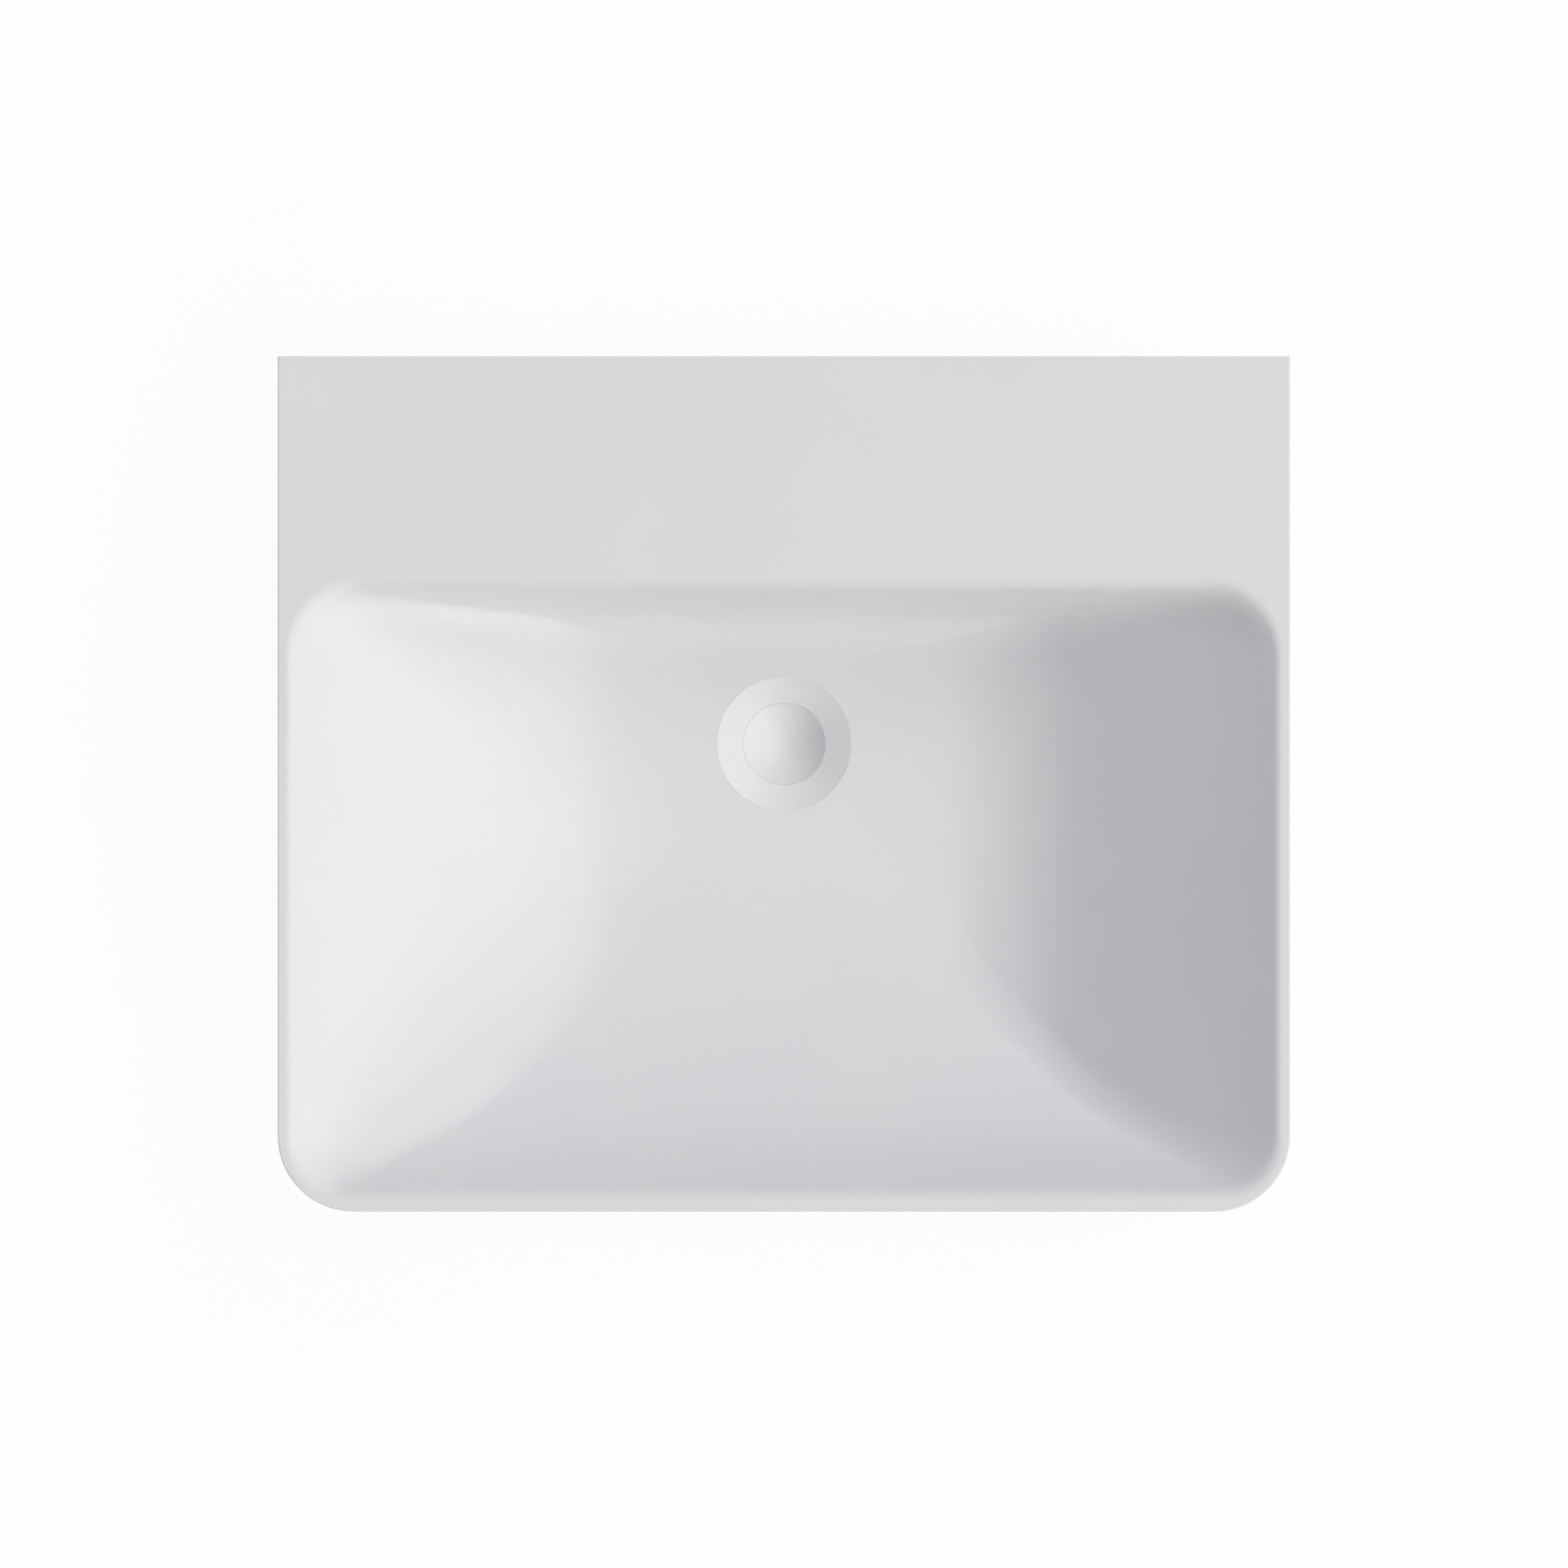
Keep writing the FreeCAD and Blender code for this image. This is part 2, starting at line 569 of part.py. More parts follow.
def fin_top_drop():
    """Drop of the index rotor's fins, just under the ends of the ribs while the plug is down."""
    return SPRING_DROP - ROTOR_FIN_LENGTH


def cartridge_housing():
    """Sleeve screwed into the spider, with guide ribs inside that end in ramps."""
    collar_radius = CARTRIDGE_RADIUS + CARTRIDGE_COLLAR_WIDTH
    sleeve = turned([
        (SPINDLE_BORE_RADIUS, CARTRIDGE_DROP),
        (collar_radius, CARTRIDGE_DROP),
        (collar_radius, COLLAR_END_DROP),
        (CARTRIDGE_RADIUS, COLLAR_END_DROP),
        (CARTRIDGE_RADIUS, CARTRIDGE_END_DROP),
        (CARTRIDGE_BORE_RADIUS, CARTRIDGE_END_DROP),
        (CARTRIDGE_BORE_RADIUS, CARTRIDGE_BORE_DROP),
        (SPINDLE_BORE_RADIUS, CARTRIDGE_BORE_DROP),
    ])
    wall_middle = (CARTRIDGE_BORE_RADIUS + CARTRIDGE_RADIUS) / 2
    roof_middle = (CARTRIDGE_DROP + CARTRIDGE_BORE_DROP) / 2
    rib_end = fin_top_drop() - RIB_END_GAP
    inner = CARTRIDGE_BORE_RADIUS - RIB_DEPTH
    ribs = []
    for index in range(RIB_COUNT):
        rib = bar_out(RIB_WIDTH, inner, wall_middle, roof_middle, rib_end, 0)
        ribs.append(ramped(rib, wall_middle, RIB_WIDTH, rib_end, -1, rib_angle(index)))
    return sleeve.multiFuse(ribs).removeSplitter()


def ramped(bar, reach, width, drop, side, angle):
    """Radial bar whose end at this drop is cut to a ramp across its width, then turned to an angle."""
    rise = width * math.tan(math.radians(RIB_RAMP_ANGLE))
    low = Vector(0, WASTE_Y - width / 2, FLOOR_Z - drop)
    high = Vector(0, WASTE_Y + width / 2, FLOOR_Z - drop)
    tip = Vector(0, WASTE_Y + width / 2, FLOOR_Z - drop - side * rise)
    wedge = Part.Face(Part.makePolygon([low, high, tip, low])).extrude(Vector(reach + OVERRUN, 0, 0))
    cut = bar.cut(wedge)
    cut.rotate(Vector(0, WASTE_Y, 0), Vector(0, 0, 1), angle)
    return cut


def collar_washer():
    """Thin washer between the cartridge's collar and the spider's hub."""
    outer = CARTRIDGE_RADIUS + CARTRIDGE_COLLAR_WIDTH
    return ring(HUB_BORE_RADIUS, outer, COLLAR_END_DROP, HUB_DROP)


def cartridge_end_cap():
    """Plug that closes the cartridge and carries the spring."""
    plug_radius = CARTRIDGE_BORE_RADIUS - SEATED_GAP
    return turned([
        (0, END_CAP_DROP),
        (plug_radius, END_CAP_DROP),
        (plug_radius, CARTRIDGE_END_DROP),
        (CARTRIDGE_RADIUS, CARTRIDGE_END_DROP),
        (CARTRIDGE_RADIUS, CARTRIDGE_END_DROP + END_CAP_FLANGE),
        (0, CARTRIDGE_END_DROP + END_CAP_FLANGE),
    ])


def plug_spindle():
    """Threaded spindle with a slotted plunger head and a pin below it."""
    socket_top = CARRIER_BOSS_DROP - SPINDLE_SOCKET_DEPTH
    plunger_radius = CARTRIDGE_BORE_RADIUS - RUNNING_CLEARANCE
    plunger_end = PLUNGER_DROP + PLUNGER_HEIGHT
    spindle = turned([
        (0, socket_top + SEATED_GAP),
        (SPINDLE_RADIUS, socket_top + SEATED_GAP),
        (SPINDLE_RADIUS, PLUNGER_DROP),
        (plunger_radius, PLUNGER_DROP),
        (plunger_radius, plunger_end),
        (PIN_RADIUS, plunger_end),
        (PIN_RADIUS, plunger_end + PIN_LENGTH),
        (0, plunger_end + PIN_LENGTH),
    ])
    slot_width = RIB_WIDTH + 2 * RUNNING_CLEARANCE
    slot_floor = CARTRIDGE_BORE_RADIUS - RIB_DEPTH - RUNNING_CLEARANCE
    for index in range(RIB_COUNT):
        spindle = spindle.cut(bar_out(
            slot_width,
            slot_floor,
            plunger_radius + OVERRUN,
            PLUNGER_DROP - OVERRUN,
            plunger_end + OVERRUN,
            rib_angle(index),
        ))
    return spindle


def index_rotor():
    """Ring below the plunger with ramped fins, turned so that its fins stand between the ribs."""
    bore = PIN_RADIUS + RUNNING_CLEARANCE / 2
    fin_radius = CARTRIDGE_BORE_RADIUS - RUNNING_CLEARANCE
    ring_middle = (bore + ROTOR_RADIUS) / 2
    fins = []
    for index in range(RIB_COUNT):
        fin = bar_out(RIB_WIDTH, ring_middle, fin_radius, fin_top_drop(), SPRING_DROP, 0)
        fins.append(ramped(fin, fin_radius, RIB_WIDTH, fin_top_drop(), 1, rib_angle(index + 0.5)))
    return ring(bore, ROTOR_RADIUS, ROTOR_DROP, SPRING_DROP).multiFuse(fins).removeSplitter()


def arc_from(start, direction, end):
    """Circular arc from a point, along a direction there, to another point."""
    chord = end - start
    along = Vector(chord).normalize()
    across = direction - along * direction.dot(along)
    angle = direction.getAngle(along)
    sagitta = chord.Length / 2 * math.tan(angle / 2)
    middle = (start + end) / 2 + across.normalize() * sagitta
    return Part.Arc(start, middle, end).toShape()


def biarc(start, start_way, end, end_way):
    """Two tangent arcs between two points with given directions."""
    chord = end - start
    both = start_way + end_way
    across = chord.dot(both)
    square = 2 * (1 - start_way.dot(end_way))
    reach = (math.sqrt(across ** 2 + square * chord.dot(chord)) - across) / square
    joint = (start + end + (start_way - end_way) * reach) / 2
    joint_way = (end - end_way * reach - start - start_way * reach).normalize()
    return [arc_from(start, start_way, joint), arc_from(joint, joint_way, end)]


def cartridge_spring():
    """Compression spring between the rotor and the end cap."""
    top = SPRING_DROP + SEATED_GAP + SPRING_WIRE / 2
    bottom = END_CAP_DROP - SEATED_GAP - SPRING_WIRE / 2
    pitch = (bottom - top) / SPRING_TURNS
    steps = round(SPRING_TURNS * ARCS_PER_TURN)

    def place(step):
        angle = 2 * math.pi * step / ARCS_PER_TURN
        drop = bottom - pitch * step / ARCS_PER_TURN
        point = waste_point(SPRING_MEAN_RADIUS * math.cos(angle), drop)
        point.y += SPRING_MEAN_RADIUS * math.sin(angle)
        rise = pitch / (2 * math.pi)
        way = Vector(-SPRING_MEAN_RADIUS * math.sin(angle), SPRING_MEAN_RADIUS * math.cos(angle), rise)
        return point, way.normalize()

    edges = []
    for step in range(steps):
        start, start_way = place(step)
        end, end_way = place(step + 1)
        edges.extend(biarc(start, start_way, end, end_way))
    start, start_way = place(0)
    outward = Vector(1, 0, 0)
    upward = start_way.cross(outward)
    corners = []
    for side in range(WIRE_SIDES + 1):
        angle = 2 * math.pi * side / WIRE_SIDES
        corners.append(start + (outward * math.cos(angle) + upward * math.sin(angle)) * (SPRING_WIRE / 2))
    section = Part.makePolygon(corners)
    path = Part.Wire(edges)
    spring = path.makePipeShell([section], True, False)
    section_area = Part.Face(section).Area
    print("spring turn gap", round(pitch - SPRING_WIRE, 3), "volume share",
          round(spring.Volume / (section_area * path.Length), 4))
    return spring


# Plug

def dish_point(skin, radius):
    """Section point of the dish, or of the surface that lies skin under it, at a radius."""
    return radius, DISH_CENTRE_DROP + math.sqrt((CAP_DISH_RADIUS + skin) ** 2 - radius ** 2)


def dish_arc(skin, outer, inner):
    """Section edge of that surface from one radius in to another."""
    ends = [outer, (outer + inner) / 2, inner]
    return Part.Arc(*[waste_point(*dish_point(skin, radius)) for radius in ends]).toShape()


def chain(points):
    """Straight section edges through points given by radius and drop."""
    places = [waste_point(radius, drop) for radius, drop in points]
    return [Part.LineSegment(start, end).toShape() for start, end in zip(places, places[1:])]


def plug_cap():
    """Ceramic cap: a dish to push on, set just below the foot of the flange's cone."""
    edge = chain([
        dish_point(0, DISH_EDGE_RADIUS),
        (CAP_RADIUS, CAP_DROP),
        dish_point(CAP_WALL, CAP_RADIUS),
    ])
    axis = chain([dish_point(CAP_WALL, 0), dish_point(0, 0)])
    under = dish_arc(CAP_WALL, CAP_RADIUS, 0)
    dish = dish_arc(0, DISH_EDGE_RADIUS, 0)
    return turned_wire(Part.Wire(Part.__sortEdges__(edge + axis + [under, dish])))


def plug_carrier():
    """Brass carrier bonded under the cap, with a lip for the seal and a threaded boss."""
    lip_radius = CARRIER_RADIUS + CARRIER_LIP
    lip_top = CARRIER_DROP - CARRIER_LIP_HEIGHT
    skin = CAP_WALL + SEATED_GAP
    socket_radius = SPINDLE_RADIUS + THREAD_CLEARANCE
    socket_top = CARRIER_BOSS_DROP - SPINDLE_SOCKET_DEPTH
    sides = chain([
        dish_point(skin, CARRIER_RADIUS),
        (CARRIER_RADIUS, lip_top),
        (lip_radius, lip_top),
        (lip_radius, CARRIER_DROP),
        (CARRIER_BOSS_RADIUS, CARRIER_DROP),
        (CARRIER_BOSS_RADIUS, CARRIER_BOSS_DROP),
        (socket_radius, CARRIER_BOSS_DROP),
        (socket_radius, socket_top),
        (0, socket_top),
        dish_point(skin, 0),
    ])
    top = dish_arc(skin, CARRIER_RADIUS, 0)
    return turned_wire(Part.Wire(Part.__sortEdges__(sides + [top])))


def plug_seal():
    """Tapered rubber ring between the cap and the carrier's lip, that closes on the coned seat."""
    inner = CARRIER_RADIUS + SEATED_GAP
    outer = CARRIER_RADIUS + SEAL_WIDTH
    skin = CAP_WALL + SEATED_GAP
    bottom = CARRIER_DROP - CARRIER_LIP_HEIGHT - SEATED_GAP
    lift_off = SEAL_GAP / math.cos(math.radians(SEAT_CONE_ANGLE))
    seat_at_outer = THROAT_DROP + (THROAT_RADIUS - outer) * SEAT_SLOPE - lift_off
    foot = THROAT_RADIUS - (bottom + lift_off - THROAT_DROP) / SEAT_SLOPE
    sides = chain([
        dish_point(skin, outer),
        (outer, seat_at_outer),
        (foot, bottom),
        (inner, bottom),
        dish_point(skin, inner),
    ])
    return turned_wire(Part.Wire(Part.__sortEdges__(sides + [dish_arc(skin, outer, inner)])))


def lock_nut():
    """Thin nut that locks the spindle's height in the carrier."""
    top = CARRIER_BOSS_DROP
    end = top + LOCK_NUT_HEIGHT
    bore = disc(SPINDLE_RADIUS + THREAD_CLEARANCE, top - OVERRUN, end + OVERRUN)
    return hexagon(LOCK_NUT_ACROSS_FLATS, top, end).cut(bore)


PIECES = [
    basin_body,
    wall_bushes,
    waste_flange,
    flange_gasket,
    tube_washer,
    waste_tube,
    lower_gasket,
    slip_washer,
    backnut,
    cartridge_housing,
    collar_washer,
    cartridge_end_cap,
    cartridge_spring,
    index_rotor,
    plug_spindle,
    lock_nut,
    plug_carrier,
    plug_seal,
    plug_cap,
]

os.makedirs("parts", exist_ok=True)
for piece in PIECES:
    shape = piece()
    shape.exportStep(os.path.join("parts", piece.__name__ + ".step"))
    volumes = [round(solid.Volume, 1) for solid in shape.Solids]
    print(piece.__name__, "valid", shape.isValid(), "solid volumes", volumes)
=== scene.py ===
import math
import bmesh
import bpy
from mathutils import Matrix, Vector


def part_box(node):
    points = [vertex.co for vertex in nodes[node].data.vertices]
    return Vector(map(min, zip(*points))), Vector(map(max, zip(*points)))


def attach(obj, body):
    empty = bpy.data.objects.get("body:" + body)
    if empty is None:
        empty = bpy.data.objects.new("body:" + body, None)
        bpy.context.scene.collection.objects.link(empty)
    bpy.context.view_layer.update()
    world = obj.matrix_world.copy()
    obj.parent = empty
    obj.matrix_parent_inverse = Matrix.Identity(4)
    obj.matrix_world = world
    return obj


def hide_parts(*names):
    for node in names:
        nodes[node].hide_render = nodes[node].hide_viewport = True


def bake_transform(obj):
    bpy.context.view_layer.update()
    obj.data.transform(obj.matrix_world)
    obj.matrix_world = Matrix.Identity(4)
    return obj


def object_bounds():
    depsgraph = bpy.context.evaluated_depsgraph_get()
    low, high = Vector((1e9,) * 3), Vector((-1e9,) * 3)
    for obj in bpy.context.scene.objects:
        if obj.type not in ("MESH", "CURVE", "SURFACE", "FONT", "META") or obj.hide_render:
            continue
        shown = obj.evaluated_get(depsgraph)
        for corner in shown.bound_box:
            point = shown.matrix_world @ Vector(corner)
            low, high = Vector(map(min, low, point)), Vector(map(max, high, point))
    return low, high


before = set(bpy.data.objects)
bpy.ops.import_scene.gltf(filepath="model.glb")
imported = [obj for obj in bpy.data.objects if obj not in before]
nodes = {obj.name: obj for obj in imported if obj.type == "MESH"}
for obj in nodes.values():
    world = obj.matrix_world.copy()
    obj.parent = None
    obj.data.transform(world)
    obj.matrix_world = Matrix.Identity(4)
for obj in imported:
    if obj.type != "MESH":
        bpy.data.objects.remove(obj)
cadLow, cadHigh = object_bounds()
scene = bpy.context.scene
mm = 0.001
# how near counts as touching, and how far a cutting shape stands past what it cuts, in millimetres
near = {"merge": 0.002, "seam": 0.008, "thread": 0.01, "cut": 0.001, "level": 0.01, "rim": 0.005}
overrun = 3.0
wasteY = sum(corner.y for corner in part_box("waste_flange")) / 2  # axis of the waste
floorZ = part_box("waste_flange")[1].z  # floor of the bowl round the flange
print("frame loaded,", len(nodes), "nodes")


# node groups shared by the finishes

texture = {"cloudDetail": 3.0, "cloudRange": (0.3, 0.7), "grainDetail": 2.0, "pinhole": 0.12,
           "lineDetail": 4.0, "blotScale": 90.0}


def startGroup(name, inputs, outputs):
    group = bpy.data.node_groups.new(name, "ShaderNodeTree")
    for label, start in inputs.items():
        socket = group.interface.new_socket(name=label, in_out="INPUT", socket_type="NodeSocketFloat")
        socket.default_value = start
    for label in outputs:
        group.interface.new_socket(name=label, in_out="OUTPUT", socket_type="NodeSocketFloat")
    return group, group.nodes.new("NodeGroupInput"), group.nodes.new("NodeGroupOutput")


def addMath(tree, operation, first, second=0.0):
    node = tree.nodes.new("ShaderNodeMath")
    node.operation = operation
    for socket, value in zip(node.inputs, (first, second)):
        if isinstance(value, (int, float)):
            socket.default_value = value
        else:
            tree.links.new(value, socket)
    return node.outputs[0]


def makeMottle():  # soft cloudy change between two values
    group, given, result = startGroup("mottle", {"Scale": 20.0, "Low": 0.0, "High": 1.0}, ["Value"])
    place = group.nodes.new("ShaderNodeTexCoord")
    noise = group.nodes.new("ShaderNodeTexNoise")
    noise.inputs["Detail"].default_value = texture["cloudDetail"]
    spread = group.nodes.new("ShaderNodeMapRange")
    spread.inputs["From Min"].default_value, spread.inputs["From Max"].default_value = texture["cloudRange"]
    group.links.new(place.outputs["Object"], noise.inputs["Vector"])
    group.links.new(given.outputs["Scale"], noise.inputs["Scale"])
    group.links.new(noise.outputs["Fac"], spread.inputs["Value"])
    group.links.new(given.outputs["Low"], spread.inputs["To Min"])
    group.links.new(given.outputs["High"], spread.inputs["To Max"])
    group.links.new(spread.outputs["Result"], result.inputs["Value"])
    return group


def makeSpeckle():  # fine grain with a few pinholes
    group, given, result = startGroup("speckle", {"Grain": 900.0, "Pits": 260.0, "Depth": 0.3}, ["Height"])
    place = group.nodes.new("ShaderNodeTexCoord")
    grain = group.nodes.new("ShaderNodeTexNoise")
    grain.inputs["Detail"].default_value = texture["grainDetail"]
    pits = group.nodes.new("ShaderNodeTexVoronoi")
    group.links.new(place.outputs["Object"], grain.inputs["Vector"])
    group.links.new(place.outputs["Object"], pits.inputs["Vector"])
    group.links.new(given.outputs["Grain"], grain.inputs["Scale"])
    group.links.new(given.outputs["Pits"], pits.inputs["Scale"])
    pinhole = group.nodes.new("ShaderNodeMapRange")
    pinhole.inputs["From Max"].default_value = texture["pinhole"]
    group.links.new(pits.outputs["Distance"], pinhole.inputs["Value"])
    deep = addMath(group, "MULTIPLY", pinhole.outputs["Result"], given.outputs["Depth"])
    group.links.new(addMath(group, "ADD", grain.outputs["Fac"], deep), result.inputs["Height"])
    return group


def makeToolMarks():  # rings left by turning, about the waste's axis
    group, given, result = startGroup("toolMarks", {"Pitch": 2500.0, "Waver": 0.4}, ["Height", "Streak"])
    place = group.nodes.new("ShaderNodeTexCoord")
    centre = group.nodes.new("ShaderNodeMapping")
    centre.inputs["Location"].default_value = (0, -wasteY, 0)
    split = group.nodes.new("ShaderNodeSeparateXYZ")
    group.links.new(place.outputs["Object"], centre.inputs["Vector"])
    group.links.new(centre.outputs["Vector"], split.inputs["Vector"])
    across = addMath(group, "POWER", split.outputs["X"], 2.0)
    along = addMath(group, "POWER", split.outputs["Y"], 2.0)
    radius = addMath(group, "SQRT", addMath(group, "ADD", across, along))
    reach = addMath(group, "ADD", radius, split.outputs["Z"])
    line = group.nodes.new("ShaderNodeTexNoise")
    line.noise_dimensions = "1D"
    line.inputs["Detail"].default_value = texture["lineDetail"]
    group.links.new(reach, line.inputs["W"])
    group.links.new(given.outputs["Pitch"], line.inputs["Scale"])
    blot = group.nodes.new("ShaderNodeTexNoise")
    blot.inputs["Scale"].default_value = texture["blotScale"]
    group.links.new(place.outputs["Object"], blot.inputs["Vector"])
    uneven = addMath(group, "MULTIPLY", blot.outputs["Fac"], given.outputs["Waver"])
    group.links.new(line.outputs["Fac"], result.inputs["Height"])
    group.links.new(addMath(group, "ADD", line.outputs["Fac"], uneven), result.inputs["Streak"])
    return group


mottle, speckle, toolMarks = makeMottle(), makeSpeckle(), makeToolMarks()


# finishes

def startFinish(name, look):
    material = bpy.data.materials.new(name)
    material.use_nodes = True
    tree = material.node_tree
    shader = tree.nodes["Principled BSDF"]
    shader.inputs["Metallic"].default_value = look.get("metal", 0.0)
    return material, tree, shader


def addGroup(tree, group, **values):
    node = tree.nodes.new("ShaderNodeGroup")
    node.node_tree = group
    for label, value in values.items():
        node.inputs[label].default_value = value
    return node


def mixTint(tree, factor, first, second):
    mix = tree.nodes.new("ShaderNodeMix")
    mix.data_type = "RGBA"
    tree.links.new(factor, mix.inputs["Factor"])
    for socket, value in ((mix.inputs["A"], first), (mix.inputs["B"], second)):
        if isinstance(value, tuple):
            socket.default_value = (*value, 1.0)
        else:
            tree.links.new(value, socket)
    return mix.outputs["Result"]


def addBump(tree, shader, height, look):
    bump = tree.nodes.new("ShaderNodeBump")
    bump.inputs["Strength"].default_value = look["bump"]
    bump.inputs["Distance"].default_value = look["relief"] * mm
    tree.links.new(height, bump.inputs["Height"])
    tree.links.new(bump.outputs["Normal"], shader.inputs["Normal"])


def heightAbove(tree, low, high):  # 0 below one height, 1 above another
    place = tree.nodes.new("ShaderNodeTexCoord")
    split = tree.nodes.new("ShaderNodeSeparateXYZ")
    step = tree.nodes.new("ShaderNodeMapRange")
    step.inputs["From Min"].default_value = low
    step.inputs["From Max"].default_value = high
    tree.links.new(place.outputs["Object"], split.inputs["Vector"])
    tree.links.new(split.outputs["Z"], step.inputs["Value"])
    return step.outputs["Result"]


def speckledFinish(name, look):  # glaze, coat, rubber and mouldings
    material, tree, shader = startFinish(name, look)
    tint = addGroup(tree, mottle, Scale=look["cloud"], Low=0.0, High=1.0)
    colour = mixTint(tree, tint.outputs["Value"], *look["tints"])
    rough = addGroup(tree, mottle, Scale=look["smear"], Low=look["rough"][0], High=look["rough"][1])
    gloss = rough.outputs["Value"]
    if "foot" in look:  # bare biscuit where the glaze is wiped off the foot
        glazed = heightAbove(tree, look["foot"], look["foot"] + look["wipe"])
        colour = mixTint(tree, glazed, look["biscuit"], colour)
        spread = tree.nodes.new("ShaderNodeMapRange")
        spread.inputs["To Min"].default_value = look["bareRough"]
        tree.links.new(glazed, spread.inputs["Value"])
        tree.links.new(gloss, spread.inputs["To Max"])
        gloss = spread.outputs["Result"]
    tree.links.new(colour, shader.inputs["Base Color"])
    tree.links.new(gloss, shader.inputs["Roughness"])
    grain = addGroup(tree, speckle, Grain=look["grain"], Pits=look["pits"], Depth=look["depth"])
    addBump(tree, shader, grain.outputs["Height"], look)
    return material


def turnedFinish(name, look):  # metals off the lathe
    material, tree, shader = startFinish(name, look)
    marks = addGroup(tree, toolMarks, Pitch=look["pitch"], Waver=look["waver"])
    colour = mixTint(tree, marks.outputs["Streak"], *look["tints"])
    rough = tree.nodes.new("ShaderNodeMapRange")
    rough.inputs["To Min"].default_value, rough.inputs["To Max"].default_value = look["rough"]
    tree.links.new(marks.outputs["Streak"], rough.inputs["Value"])
    tree.links.new(colour, shader.inputs["Base Color"])
    tree.links.new(rough.outputs["Result"], shader.inputs["Roughness"])
    addBump(tree, shader, marks.outputs["Height"], look)
    return material


glaze = speckledFinish("satinGlaze", {
    "tints": ((0.795, 0.79, 0.805), (0.815, 0.81, 0.82)), "cloud": 9.0, "smear": 35.0, "rough": (0.46, 0.58),
    "grain": 1500.0, "pits": 420.0, "depth": 0.4, "bump": 0.12, "relief": 0.06,
    "foot": -69.9 * mm, "wipe": 0.6 * mm, "biscuit": (0.74, 0.71, 0.66), "bareRough": 0.9})
# cap glaze: a brighter copy of the basin's glaze, painted light that lifts the cap out of the shade in the
# waste's recess
capGlazeWithPaintedLight = speckledFinish("capGlazeWithPaintedLight", {
    "tints": ((0.82, 0.815, 0.825), (0.84, 0.835, 0.845)), "cloud": 40.0, "smear": 90.0, "rough": (0.44, 0.54),
    "grain": 1800.0, "pits": 500.0, "depth": 0.3, "bump": 0.1, "relief": 0.05})
# flange coat: its own white, raised further as painted light against the shade in the waste's recess
flangeCoatAndPaintedLight = speckledFinish("flangeCoatAndPaintedLight", {
    "tints": ((0.825, 0.82, 0.83), (0.845, 0.84, 0.85)), "cloud": 60.0, "smear": 120.0, "rough": (0.42, 0.52),
    "grain": 2600.0, "pits": 900.0, "depth": 0.15, "bump": 0.12, "relief": 0.05})
blackRubber = speckledFinish("blackRubber", {
    "tints": ((0.018, 0.018, 0.019), (0.032, 0.032, 0.033)), "cloud": 120.0, "smear": 200.0,
    "rough": (0.62, 0.8), "grain": 2200.0, "pits": 700.0, "depth": 0.2, "bump": 0.3, "relief": 0.08})
greyFibre = speckledFinish("greyFibre", {
    "tints": ((0.20, 0.19, 0.18), (0.30, 0.29, 0.27)), "cloud": 700.0, "smear": 300.0, "rough": (0.8, 0.95),
    "grain": 3000.0, "pits": 1200.0, "depth": 0.3, "bump": 0.4, "relief": 0.08})
whiteNylon = speckledFinish("whiteNylon", {
    "tints": ((0.76, 0.75, 0.71), (0.80, 0.79, 0.755)), "cloud": 60.0, "smear": 140.0, "rough": (0.38, 0.5),
    "grain": 1800.0, "pits": 600.0, "depth": 0.1, "bump": 0.15, "relief": 0.05})
greyAcetal = speckledFinish("greyAcetal", {
    "tints": ((0.16, 0.165, 0.175), (0.19, 0.195, 0.205)), "cloud": 90.0, "smear": 160.0, "rough": (0.34, 0.46),
    "grain": 2000.0, "pits": 600.0, "depth": 0.1, "bump": 0.12, "relief": 0.05})
brass = turnedFinish("turnedBrass", {
    "tints": ((0.62, 0.42, 0.16), (0.78, 0.58, 0.27)), "metal": 1.0, "rough": (0.2, 0.36),
    "pitch": 2600.0, "waver": 0.5, "bump": 0.12, "relief": 0.04})
plate = turnedFinish("brightPlate", {
    "tints": ((0.66, 0.67, 0.69), (0.80, 0.81, 0.83)), "metal": 1.0, "rough": (0.12, 0.24),
    "pitch": 1900.0, "waver": 0.5, "bump": 0.06, "relief": 0.03})
steel = turnedFinish("turnedSteel", {
    "tints": ((0.50, 0.50, 0.51), (0.62, 0.62, 0.63)), "metal": 1.0, "rough": (0.24, 0.38),
    "pitch": 3200.0, "waver": 0.4, "bump": 0.12, "relief": 0.03})
wire = turnedFinish("drawnWire", {
    "tints": ((0.42, 0.42, 0.43), (0.55, 0.55, 0.56)), "metal": 1.0, "rough": (0.28, 0.42),
    "pitch": 5200.0, "waver": 0.6, "bump": 0.08, "relief": 0.02})
print("finishes made,", len(bpy.data.materials), "materials")


# mesh helpers

def merge(bm, reach=near["merge"]):
    bmesh.ops.remove_doubles(bm, verts=bm.verts, dist=reach * mm)


def asObject(name, bm):
    mesh = bpy.data.meshes.new(name)
    bm.to_mesh(mesh)
    bm.free()
    made = bpy.data.objects.new(name, mesh)
    scene.collection.objects.link(made)
    return made


def addPiece(name, bm, finish, body, replaced, sharp=35, soften=0.0):
    merge(bm)
    bmesh.ops.recalc_face_normals(bm, faces=bm.faces)
    piece = asObject(name, bm)
    piece.data.materials.append(finish)
    piece.data.shade_smooth()
    piece.data.set_sharp_from_angle(angle=math.radians(sharp))
    if soften:  # small rounds on every hard edge
        rounds = piece.modifiers.new("rounds", "BEVEL")
        rounds.width = soften * mm
        rounds.segments = 2
        rounds.angle_limit = math.radians(sharp)
        rounds.use_clamp_overlap = True
    evenNormals = piece.modifiers.new("evenNormals", "WEIGHTED_NORMAL")
    evenNormals.keep_sharp = True
    if body:
        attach(piece, body)
    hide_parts(*replaced)
    return piece


def only(kind, geom):  # the vertices or the edges among what an operator made
    return [item for item in geom if isinstance(item, kind)]


